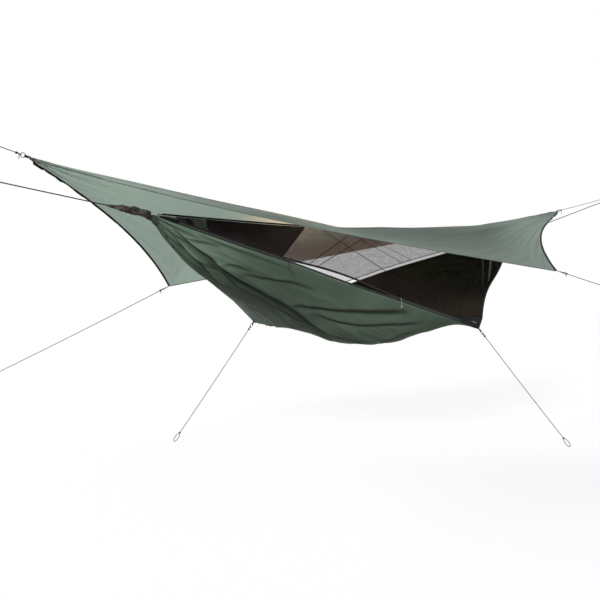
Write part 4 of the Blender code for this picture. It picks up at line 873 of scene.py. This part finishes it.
def make_nets(near_shade, far_shade, seam_shade):
    """The two net panels with their seams."""
    top = RIDGE_BINDING_RADIUS + RIDGE_BINDING_WALL / 2 + GAP
    for label, side, shade, left, right in (
            ("near", NEAR, near_shade, (zip_x(ZIP_START), *DOOR), NET_END),
            ("far", FAR, far_shade, (-NET_END,), RIDGE_HALF - FAR_NET_SHORT)):
        first, last = patch_span(side)
        places = stops_through((*left, first, side.corner_x, last, right), NET_STEP)
        panel = band(f"{label}_net_panel", side, places, lambda x: min(top, net_hem(side, x) - top),
                     lambda x: net_hem(side, x), 60, NET_THICKNESS, lambda x, v: net_ripple(side, x, v),
                     lambda x, v: net_pleat(side, x, v))
        put(panel, shade, f"{label}_net")
        seams = [make_seam(f"{label}_seam_{number + 1}", side, ridge_x, hem_x, top, seam_shade)
                 for number, (which, ridge_x, hem_x) in enumerate(NET_SEAMS) if which == label]
        if side is FAR:
            places = stops_through((last, RIDGE_HALF - FAR_NET_SHORT * 2), HEM_SEAM_STEP)
            line = band("far_hem_seam", side, places,
                        lambda x: net_hem(FAR, x) - SEAM_WIDTH, lambda x: net_hem(FAR, x) - GAP, 2,
                        NET_THICKNESS, lambda x, v: NET_THICKNESS + GAP)
            seams.append(put(line, seam_shade))


def make_bindings(shade, pale):
    """The ridge binding, the edge bindings and the tape along the near edge."""
    def ridge_place(u, v):
        x = (CLOTH_END - RIDGE_BINDING_START) * (2 * u - 1)
        round_ridge = turned(UP, ACROSS, math.radians(120) * (2 * v - 1)) * RIDGE_BINDING_RADIUS
        return Vector((x, 0.0, ridge_height(x))) + round_ridge

    put(grid("ridge_binding", 120, 12, ridge_place, RIDGE_BINDING_WALL, RIDGE_BINDING_SIZE), shade,
        "net_ridge_binding")
    for name, side, start, stop, finish in (
            ("near", NEAR, PATCH_END + GAP, NET_END, shade),
            ("far_short", FAR, -NET_END, -PATCH_END - GAP, shade),
            ("far_long", FAR, -PATCH_START + GAP, RIDGE_HALF - FAR_BINDING_SHORT, pale)):
        upper = far_strip if finish is pale else (lambda x: inward(side, x, EDGE_GAP + BINDING_WIDTH))
        strip = band(f"edge_trim_{name}", side, stops_through((start, stop), BINDING_STEP), upper,
                     lambda x: inward(side, x, EDGE_GAP), 3, BINDING_THICKNESS)
        put(strip, finish, f"edge_binding_{name}")
    places = stops_through((EDGE_TAPE_START - CLOTH_END, zip_x(ZIP_START)), EDGE_TAPE_STEP)
    put(band("near_edge_tape", NEAR, places,
             lambda x: body_edge(NEAR, x) - min((ZIP_STACK - GAP) * NEAR.tilt(x), body_edge(NEAR, x) * 0.62),
             lambda x: body_edge(NEAR, x) - EDGE_GAP, 4, BINDING_THICKNESS,
             lambda x, v: BINDING_THICKNESS), shade)


def make_corners(shade, label_shade):
    """The bare label, the webbing and the patches at the side corners."""
    def label_line(drop):
        return lambda x: NEAR.slope - drop + (x - CORNER_ALONG) * LABEL_SLANT_SHARE

    places = stops_through((CORNER_ALONG - LABEL_LEFT, CORNER_ALONG + LABEL_RIGHT), LABEL_STEP)
    put(band("bare_label", NEAR, places, label_line(LABEL_TOP), label_line(LABEL_BOTTOM), 3, LABEL_THICKNESS,
             lambda x, v: PATCH_THICKNESS), label_shade)
    for name, side in (("near", NEAR), ("far", FAR)):
        def webbing_place(u, v):
            reach = CORNER_WEBBING_REACH * (1 - 0.75 * v)
            across = CORNER_WEBBING_START + 0.030 * (1 - v)
            return body_point(-side.sign * (CORNER_ALONG + reach * (2 * u - 1)),
                              across if side is NEAR else 1 - across)

        put(grid(f"corner_webbing_{name}", 16, 10, webbing_place, BINDING_THICKNESS * 4, CORNER_WEBBING_SIZE),
            shade)
    for name, side in (("near", NEAR), ("far", FAR)):
        start, stop = patch_span(side)
        patch = band(f"corner_{name}", side, stops_through((start, side.corner_x, stop), PATCH_STEP),
                     lambda x: patch_top(side, x), lambda x: inward(side, x, EDGE_GAP), 10, PATCH_THICKNESS)
        put(patch, shade, f"corner_patch_{name}")


def make_zip(upper_shade, lower_shade, coil_shade):
    """Tapes and coil of the zip, open between the sliders."""
    start, (left, right) = zip_x(ZIP_START), DOOR
    places = stops_through((start, left, right, PATCH_START - GAP), BINDING_STEP)
    for name, shade, low, rise in (("lower", lower_shade, EDGE_GAP, 0.0),
                                   ("upper", upper_shade, ZIP_STACK - GAP - TAPE_WIDTH, 1.0)):
        tape = band(f"{name}_tape", NEAR, places, lambda x: near_band(x, low + TAPE_WIDTH, rise),
                    lambda x: near_band(x, low, rise), 3, TAPE_THICKNESS)
        put(tape, shade, f"zip_tape_{name}")
    post = SLIDER_POST / ZIP_TILT
    inside = SLIDER_LENGTH / 2 / ZIP_TILT
    lower_row = EDGE_GAP + TAPE_WIDTH + GAP + ROW_DIAMETER / 2
    upper_row = ZIP_STACK - GAP - TAPE_WIDTH - GAP - ROW_DIAMETER / 2
    runs = (("left", "chain", start, left - post, ZIP_CENTRE, 0.0, COIL_DIAMETER),
            ("right", "chain", right + post, PATCH_START - COIL_DIAMETER / 2, ZIP_CENTRE, 0.0, COIL_DIAMETER),
            ("lower", "row", left + inside, right - inside, lower_row, 0.0, ROW_DIAMETER),
            ("upper", "row", left + inside, right - inside, upper_row, 1.0, ROW_DIAMETER))
    for name, kind, first, last, offset, rise, diameter in runs:
        count = int((last - first) / COIL_PITCH)
        places = [first + (last - first) * step / count for step in range(count + 1)]
        points = [NEAR.point(x, near_band(x, offset, rise)) for x in places]
        put(tube(f"coil_{name}", points, diameter, shares=COIL_WIDTH_SHARES), coil_shade, f"zip_{kind}_{name}")


def fly_ridge(x):
    """Height of the fly above the ridge."""
    rest = ridge_height(FLY_REACH * FLY_REST_SHARE) + FLY_REST_LIFT + FLY_THICKNESS / 2
    return rest + (FLY_RISE - rest) * smooth_value(FLY_RIDGE_SHARES, x / FLY_REACH)


def fly_border(sign, x):
    """The fly's outer edge at a column, on the near side for -1 and the far side for 1."""
    corner = Vector(FLY_NEAR if sign < 0 else FLY_FAR)
    long_end = sign * FLY_REACH
    on_long = (x - corner.x) * (long_end - corner.x) >= 0
    end = Vector((long_end if on_long else -long_end, 0.0, FLY_RISE))
    share = (x - end.x) / (corner.x - end.x)
    point = end.lerp(corner, share)
    if on_long:
        sag = FLY_HEM_SAG if sign < 0 else FLY_FAR_HEM_SAG
        return point - UP * (sag * math.sin(math.pi * share**FLY_HEM_POWER))
    edge = (corner - end).normalized()
    inside = Vector((-end.x, 0.0, 0.0))
    inside = (inside - edge * inside.dot(edge)).normalized()
    hollow = FLY_HOLLOW_RIGHT if sign < 0 else FLY_HOLLOW_LEFT
    skewed = share ** (FLY_HOLLOW_RIGHT_POWER if sign < 0 else FLY_HOLLOW_LEFT_POWER)
    return point + inside * hollow * 4 * skewed * (1 - skewed)


def fly_wrinkle(x, v):
    """Wrinkles: fine ones out from both ridge tips, soft ones along the ridge, pulls at the side corners."""
    w = abs(v)
    sign = -1 if v < 0 else 1
    tip = max(abs(x) / FLY_REACH - 0.15, 0.0)
    wave = FLY_WAVE_HEIGHT * tip * math.sin(math.pi * w) * math.sin(5 * math.pi * w)
    ray = v * abs(fly_border(sign, x).y) / (FLY_REACH * 1.04 - abs(x))
    fine = noise.noise(Vector((x * 1.1, ray * 48.0, 4.4)))
    fine += 0.7 * noise.noise(Vector((x * 2.2, ray * 120.0, 9.1)))
    wave += FLY_WRINKLE_HEIGHT * fine * (0.24 + 0.30 * tip) * min(w / 0.04, 1.0) * min((1 - w) / 0.05, 1.0)
    away = x - (FLY_NEAR if v < 0 else FLY_FAR)[0]
    return wave + FLY_PULL_HEIGHT * bell(away, FLY_PULL_REACH) * w ** 3 * math.sin(26 * away) * (1 - w)


def fly_point(x, v):
    """A place on the fly: -1 is the near border, 0 the ridge and 1 the far border."""
    ridge = Vector((x, 0.0, fly_ridge(x)))
    return ridge.lerp(fly_border(-1 if v < 0 else 1, x), abs(v)) + UP * fly_wrinkle(x, v)


def fly_trim_point(sign, x, v):
    """A place on the binding of a short edge, from the cloth at 0 to its outer border at 1."""
    corner_x = (FLY_FAR if sign > 0 else FLY_NEAR)[0]
    tip_x = -sign * (FLY_REACH - FLY_TIP_CUT)
    step = (corner_x - tip_x) / 50
    from_tip = abs(x - tip_x) < abs(x - corner_x)
    ahead = fly_border(sign, x + step if from_tip else x)
    behind = fly_border(sign, x if from_tip else x - step)
    edge = (ahead - behind).normalized()
    outward = fly_border(sign, x) - fly_point(x, sign * 0.9)
    outward = (outward - edge * outward.dot(edge)).normalized()
    return fly_border(sign, x) + outward * (FLY_THICKNESS / 2 + GAP + FLY_BINDING_WIDTH * v)


def make_fly(shade, hem_shade, binding_shade):
    """The rain fly with its bound short edges, its hems and its ridge seam."""
    tip = FLY_REACH - FLY_TIP_CUT
    places = stops_through((-tip, FLY_FAR[0], FLY_REACH * FLY_REST_SHARE, FLY_NEAR[0], tip), FLY_STEP)
    last = len(places) - 1
    fly = grid("fly_sheet", last, 110, lambda u, v: fly_point(places[round(u * last)], 2 * v - 1),
               FLY_THICKNESS, FLY_SIZE)
    put(fly, shade, "rain_fly")
    for label, sign, corner_x in (("near", -1, FLY_NEAR[0]), ("far", 1, FLY_FAR[0])):
        def hem(u, v):
            x = sign * tip + (corner_x - sign * tip) * u
            across = (fly_point(x, 0.0) - fly_border(sign, x)).length
            reach = min(FLY_HEM_WIDTH * v, across)
            return fly_point(x, sign * (1 - reach / max(across, reach, FLY_HEM_LEAST)))

        put(grid(f"fly_hem_{label}", 160, 2, hem, FLY_HEM_THICKNESS,
                               (FLY_HEM_LENGTH, FLY_HEM_WIDTH)), hem_shade)

    def seam(u, v):
        across = FLY_SEAM_WIDTH * (v - 0.5)
        return fly_point(tip * (2 * u - 1), 0.0) + Vector((0.0, across, FLY_SEAM_LIFT - abs(across)))

    put(grid("fly_ridge_seam", 200, 6, seam, FLY_THICKNESS, FLY_SEAM_SIZE), hem_shade)
    for end, sign, corner_x in (("left", 1, FLY_FAR[0]), ("right", -1, FLY_NEAR[0])):
        def trim(u, v):
            return fly_trim_point(sign, -sign * tip + (corner_x + sign * tip) * u, v)

        put(grid(f"fly_trim_{end}", 80, 3, trim, FLY_BINDING_THICKNESS,
                 (FLY_BINDING_LENGTH, FLY_BINDING_WIDTH)), binding_shade, f"fly_binding_{end}")


def make_gathers(shade, cord):
    """The gathered and whipped ends of the cloth."""
    turns, steps = 6, 16
    for name, way in (("left", -1), ("right", 1)):
        end = Vector((way * BUNDLE_END, 0.0, 0.0))
        mouth = sum((body_point(way * CLOTH_END, v) for v in (0.0, 0.5, 1.0)), Vector()) / 3
        mouth.x = way * (CLOTH_END + GAP)

        def place(u, v):
            angle = math.tau * v
            pleats = 0.15 * math.sin(11 * angle) + 0.07 * math.sin(23 * angle + 9 * u)
            reach = GATHER_RADIUS * smooth_value(GATHER_PROFILE, u) * (1 + pleats * (1 - 0.5 * u))
            return mouth.lerp(end, u) + turned(ACROSS, UP, angle) * reach

        put(grid(f"bundle_{name}", 40, 96, place, BODY_THICKNESS, (GATHER_LENGTH, GATHER_GIRTH), closed=True),
            shade, f"gather_{name}")
        points = [mouth.lerp(end, 0.44 + 0.26 * step / (turns * steps))
                  + turned(ACROSS, UP, math.tau * step / steps) * (GATHER_RADIUS * 0.70 + WHIPPING_LIFT)
                  for step in range(turns * steps + 1)]
        put(tube(f"bundle_{name}_whipping", points, WHIPPING_DIAMETER, 6), cord)


def make_knot(name, start, direction, axis, diameter, shade):
    """Turns of cord wound tight about the line."""
    turns, steps = 3, 14
    winding = max(KNOT_REACH, diameter * 1.4) - diameter * 0.35
    points = []
    for step in range(turns * steps + 1):
        share = step / (turns * steps)
        radius = winding * (0.80 + 0.20 * math.sin(math.pi * share))
        points.append(start + direction * KNOT_LENGTH * (0.10 + 0.80 * share)
                      + turned(axis, direction.cross(axis), math.tau * step / steps) * radius)
    return put(tube(name, points, diameter * 0.9), shade)


def make_tail(name, free_end, direction, axis, diameter, shade):
    """The short free end that leaves sideways and hangs down."""
    sideways = direction.cross(UP).normalized()
    if sideways.dot(axis) < 0:
        sideways = -sideways
    clear = free_end + sideways * (KNOT_REACH + diameter)
    points = smooth_path([free_end + sideways * TAIL_START, free_end + sideways * diameter,
                          clear - UP * diameter, clear - UP * TAIL_LENGTH], TAIL_STEP)
    return put(tube(name, points, diameter), shade)


def make_line(name, node, direction, run, diameter, shade, start=None, ring=None, tail=False):
    """A taut line: round its ring, knotted, straight out, and knotted into an end loop."""
    direction = unit(direction)
    axis = direction.cross(UP).normalized().cross(direction)
    points, knots = [], []
    if ring:
        centre, ring_axis = ring
        reach = RING_WIRE / 2 + GAP + diameter / 2
        wire = centre + direction * RING_RADIUS
        free_end = wire + direction * (reach + diameter * 1.5) + ring_axis * reach
        points.append(free_end)
        for step in range(9):
            angle = math.pi * step / 8
            points.append(wire + ring_axis * reach * math.cos(angle) - direction * reach * math.sin(angle))
        points.append(wire + direction * (reach + diameter * 2))
        knots.append(points[-1])
        start = points[-1] + direction * KNOT_LENGTH
    sag = GUY_SAG_SHARE * run if ring else 0.0
    for step in range(25):
        share = step / 24
        points.append(start + direction * run * share - UP * (4 * sag * share * (1 - share)))
    way = (points[-1] - points[-2]).normalized()
    knots.append(points[-1])
    base = points[-1] + way * KNOT_LENGTH
    outline = [(LOOP_LENGTH * (1 - math.cos(math.pi * step / 12)) / 2,
                LOOP_HALF_WIDTH * math.sin(math.pi * step / 12) ** 0.8) for step in range(1, 12)]
    points.append(base)
    points += [base + way * reach + axis * width for reach, width in outline]
    points.append(base + way * LOOP_LENGTH)
    points += [base + way * reach - axis * width for reach, width in outline[::-1]]
    points.append(base + way * diameter / 2 - axis * (diameter + GAP))
    curve = bpy.data.curves.new(name, "CURVE")
    curve.dimensions = "3D"
    curve.bevel_depth = diameter / 2
    curve.bevel_resolution = 3
    curve.use_fill_caps = True
    spline = curve.splines.new("POLY")
    spline.points.add(len(points) - 1)
    for point, place in zip(spline.points, points):
        point.co = (*place, 1.0)
    line = put(bpy.data.objects.new(name, curve), shade, node)
    pieces = [make_knot(f"{name}_knot_{number + 1}", place, direction, axis, diameter, shade)
              for number, place in enumerate(knots)]
    if tail:
        pieces.append(make_tail(f"{name}_tail", free_end, direction, ring_axis, diameter, shade))


def make_tab(name, node, tip, direction, axis, room, shade):
    """A webbing tab folded round a ring's wire."""
    across = direction.cross(axis)
    reach = RING_WIRE / 2 + GAP + TAB_THICKNESS / 2
    closed = (TAB_THICKNESS + GAP) / 2
    bow = RING_RADIUS - math.sqrt(RING_RADIUS**2 - (TAB_WIDTH / 2) ** 2)
    wire = tip + direction * (TAB_LENGTH + bow + GAP)
    seat = tip + direction * room
    bend = [wire + turned(axis, direction, math.pi * step / 12) * reach for step in range(13)]
    full = smooth_path([seat + axis * closed, *bend, seat - axis * closed], TAB_STEP)
    last = len(full) - 1
    put(grid(name, last, 8, lambda u, v: full[round(u * last)] + across * TAB_WIDTH * (v - 0.5),
             TAB_THICKNESS, (TAB_STRAP, TAB_WIDTH)), shade, node)


def make_ring(name, node, centre, axis, shade):
    """A smooth metal ring."""
    first = axis.orthogonal().normalized()
    second = axis.cross(first)
    points = [centre + turned(first, second, math.tau * step / 48) * RING_RADIUS for step in range(48)]
    put(tube(name, points, RING_WIRE, 12, closed=True), shade, node, body=node)


def node_middle(name):
    """Middle of a CAD node."""
    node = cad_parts[name]
    return node.matrix_world @ (sum((Vector(corner) for corner in node.bound_box), Vector()) / 8)


def make_rigging(webbing, cord, steel):
    """Tabs, rings and the lines on them."""
    for label, way, normal, run in FLY_LINES:
        way = unit(way)
        axis = (normal - way * normal.dot(way)).normalized()
        centre = node_middle(f"fly_ring_{label}")
        on_ridge = label in ("left", "right")
        room = TAB_ROOM + TAB_WIDTH / 4 * abs(way.z) if on_ridge else TAB_ROOM
        make_tab(f"fly_loop_{label}", f"fly_tab_{label}", centre - way * (TAB_LENGTH + RING_RADIUS), way, axis,
                 room, webbing)
        make_ring(f"fly_hoop_{label}", f"fly_ring_{label}", centre, axis, steel)
        node = f"fly_{'ridge' if on_ridge else 'guy'}_line_{label}"
        make_line(node + "_cord", node, way, run, GUY_DIAMETER, cord, ring=(centre, axis), tail=True)
    for label, side, way in (("near", NEAR, (0.425, -0.266, -0.647)), ("far", FAR, (-0.409, 0.252, -0.709))):
        way = unit(way)
        place = side.point(side.corner_x, side.slope)
        axis = (side.normal - way * side.normal.dot(way)).normalized()
        centre = place + way * (TAB_LENGTH + RING_RADIUS)
        make_tab(f"corner_loop_{label}", f"corner_tab_{label}", place, way, axis, TAB_ROOM, webbing)
        make_ring(f"corner_hoop_{label}", f"corner_ring_{label}", centre, axis, steel)
        make_line(f"side_guy_{label}_cord", f"side_guy_line_{label}", way, SIDE_GUY_RUN, GUY_DIAMETER, cord,
                  ring=(centre, axis))


def make_suspension(cord, sleeve_shade):
    """The suspension lines with their sleeves."""
    snug = LINE_DIAMETER / 2 + GAP + SLEEVE_WALL
    for label, way, run, slope in SUSPENSIONS:
        direction = unit((way, 0.0, slope))
        start = Vector((way * BUNDLE_END, 0.0, 0.0)) + direction * (GAP + LINE_DIAMETER / 2 * slope)
        make_line(f"suspension_{label}_cord", f"suspension_line_{label}", direction, run, LINE_DIAMETER, cord,
                  start)
        side = direction.cross(ACROSS).normalized()
        across = direction.cross(side)

        def place(u, v):
            angle = math.tau * v
            radius = snug + (SLEEVE_RADIUS - snug) * smooth_value(SLEEVE_PROFILE, u)
            lump = SLEEVE_LUMP * math.sin(3 * angle + 7 * u) * math.cos(9 * u)
            crush = SLEEVE_CRUSH * math.sin(8 * angle + 17 * u) * math.sin(26 * u)
            radius += math.sin(math.pi * u) * (lump + crush)
            centre = start + direction * (SLEEVE_LENGTH * u - SLEEVE_OVERLAP)
            return centre + turned(side, across, angle) * radius

        put(grid(f"sleeve_{label}", 90, 60, place, BODY_THICKNESS, SLEEVE_SIZE, closed=True), sleeve_shade,
            f"storage_sleeve_{label}")


def make_pocket(mesh_shade, trim_shade):
    """The mesh organiser under the ridge line."""
    left, right = ridge_height(POCKET_START), ridge_height(POCKET_START + POCKET_LENGTH)

    def place(u, v):
        slant = POCKET_SLANT * v
        x = POCKET_START + slant * 0.25 + (POCKET_LENGTH - slant * 1.25) * u
        top = left + (right - left) * u - POCKET_DROP * (1 + 0.5 * math.sin(math.pi * u))
        bow = POCKET_BOW * math.sin(math.pi * u) * math.sin(math.pi * v)
        return Vector((x, -bow, top - POCKET_DEPTH * v))

    pocket = put(grid("organiser", 80, 30, place, POCKET_WALL, (POCKET_LENGTH, POCKET_DEPTH)), mesh_shade,
                 "ridge_pocket", body="ridge_organiser")
    for label, count, route, width in (("top", 60, lambda t: (t, 0.0), TRIM_WIDE),
                                       ("right", 24, lambda t: (1.0, t), TRIM_WIDE),
                                       ("left", 24, lambda t: (0.0, t), TRIM_NARROW),
                                       ("bottom", 60, lambda t: (t, 1.0), TRIM_NARROW)):
        points = [place(*route(step / count)) - ACROSS * TRIM_LIFT for step in range(count + 1)]
        put(tube(f"organiser_trim_{label}", points, width, 6), trim_shade, body="ridge_organiser")


def make_ridge_line(cord):
    """The taut line along the ridge."""
    places = [NET_END * (2 * step / 80 - 1) for step in range(81)]
    put(tube("ridge_cord", [Vector((x, 0.0, ridge_height(x))) for x in places], RIDGE_DIAMETER, 12), cord,
        "ridge_line")


def make_stage():
    """Pale floor, white surroundings and soft lamps."""
    bpy.ops.mesh.primitive_grid_add(x_subdivisions=4, y_subdivisions=4, size=FLOOR_SIZE,
                                    location=(0.0, 0.0, FLOOR_HEIGHT))
    floor = bpy.context.object
    floor.name = "floor"
    shade = Shade("floor")
    seen = shade.seen()
    shade.set(Base_Color=shade.ramp(seen, (0.0, FLOOR_TONE), (1.0, 0.93)), Roughness=0.9)
    shade.show(shade.math("MULTIPLY", seen, 0.80), shade.shader,
               shade.node("Emission", [("Color", WHITE), ("Strength", 1.0)]))
    floor.data.materials.append(shade.owner)
    studio = Shade(bpy.data.worlds.new("studio"))
    bpy.context.scene.world = studio.owner
    sky = studio.tree.nodes["Background"]
    sky.inputs["Color"].default_value = WHITE
    sky.inputs["Strength"].default_value = SKY_STRENGTH
    studio.show(studio.seen(), sky, studio.node("Background", [("Color", WHITE)]), "World Output")
    for name, kind, strength, place, aim, settings in LAMPS:
        lamp = bpy.data.lights.new(name, kind)
        lamp.energy = strength
        for key, value in settings.items():
            setattr(lamp, key, value)
        obj = link(bpy.data.objects.new(name, lamp))
        obj.location = place
        obj.rotation_euler = (Vector(aim) - Vector(place)).to_track_quat("-Z", "Y").to_euler()


def dress_cad(shade, *names):
    """Give CAD nodes that keep their shape a better material."""
    for name in names:
        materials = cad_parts[name].data.materials
        materials.clear()
        materials.append(shade)


def make_soft_goods(webbing, cord):
    """Fly, hammock cloth, nets, bindings and corners with their finishes."""
    fly_green = (0.088, 0.112, 0.096)
    fly_cloth = cloth_shade("fly_cloth", fly_green, 0.0008, spread=0.06, roughness=0.45, bump=0.2,
                            crumple=0.12, through=0.43, mottle_size=3.0,
                            # Two painted pools of warm light in the light through the fly: near the ridge, and
                            # behind the nets.
                            painted_glow=(((-0.47, 0.04, 0.02), (0.42, 0.24, 0.24), (1.0, 0.93, 0.80)),
                                  ((0.15, 0.36, -0.08), (0.90, 0.42, 0.45), (0.80, 0.64, 0.56))),
                            # A painted-light patch that makes the fly's left tip paler.
                            painted_light_patches=(((-1.75, 0.0, 0.15), (1.25, 0.40, 0.50), (0.30, 0.325, 0.305)),))
    fly_hem = cloth_shade("fly_hem", scaled(fly_green, 1.5), 0.0012, spread=0.2, roughness=0.6, bump=0.4,
                          through=0.40)
    body_cloth = cloth_shade("body_cloth", BODY_GREEN, 0.0008, spread=0.14, roughness=0.55, bump=0.3,
                             crumple=0.35, mottle_size=5.0, painted_light_strength=0.9)
    # The hammock's inner side: the same cloth given a dark olive-brown colour, painted shade.
    inside_painted_shade = cloth_shade("body_lining", (0.050, 0.045, 0.018), 0.0008, spread=0.25, roughness=0.8, bump=0.3,
                         crumple=0.2, mottle_size=5.0)
    make_fly(fly_cloth, fly_hem, webbing)
    make_body(body_cloth, inside_painted_shade)
    make_nets(net_shade("near_insect_net", (0.024, 0.015, 0.016), 0.0016, 0.27, gathered=0.22),
              # The same near-black mesh as the near net, painted lit brown-pink where the sun behind falls on
              # it.
              net_shade("far_insect_net", (0.235, 0.130, 0.128), 0.0016, 0.20, gathered=0.15),
              cloth_shade("net_seam", (0.010, 0.009, 0.009), spread=0.3))
    make_bindings(webbing, net_shade("pale_binding", (0.62, 0.61, 0.62), 0.0016, 0.06))
    make_corners(webbing, cloth_shade("bare_label", (0.16, 0.16, 0.165), spread=0.3))


def make_ends(webbing, cord):
    """The gathered ends, the rings and lines, the sleeves and the organiser with their finishes."""
    make_gathers(cloth_shade("bundle_cloth", scaled(BODY_GREEN, 0.36), 0.0008, spread=0.5, bump=0.3,
                             mottle_size=40.0), cord)
    make_rigging(webbing, cord, metal_shade("ring_steel", (0.035, 0.035, 0.037), 0.40))
    make_suspension(cord, cloth_shade("sleeve_cloth", (0.100, 0.090, 0.090), spread=0.98, mottle_size=42.0))
    make_pocket(net_shade("pocket_mesh", (0.082, 0.056, 0.064), 0.0012, 0.80), webbing)


def main():
    """Build the whole picture."""
    bpy.context.scene.view_settings.view_transform = "Standard"
    set_camera()
    make_stage()
    webbing = webbing_shade("black_webbing", (0.008, 0.008, 0.008))
    cord = cord_shade("braided_cord", (0.010, 0.010, 0.010))
    make_soft_goods(webbing, cord)
    make_zip(webbing_shade("upper_zip_tape", (0.016, 0.014, 0.015)),
             webbing_shade("lower_zip_tape", (0.030, 0.036, 0.032)),
             plastic_shade("zip_coil", (0.10, 0.095, 0.10)))
    make_ridge_line(cord)
    make_ends(webbing, cord)
    dress_cad(metal_shade("zip_metal", (0.12, 0.12, 0.125), 0.35), "zip_slider_left", "zip_slider_right",
              "zip_end_stop")
    dress_cad(cord_shade("dark_pull", (0.03, 0.03, 0.03)), "zip_pull_left")
    dress_cad(cord_shade("pale_pull", (0.42, 0.52, 0.42)), "zip_pull_right")
    dress_cad(plastic_shade("hook_plastic", (0.02, 0.02, 0.02)), "gear_hook_1", "gear_hook_2")
    dress_cad(cord, "hook_loop_1", "hook_loop_2", "pocket_loop_left", "pocket_loop_right")


main()
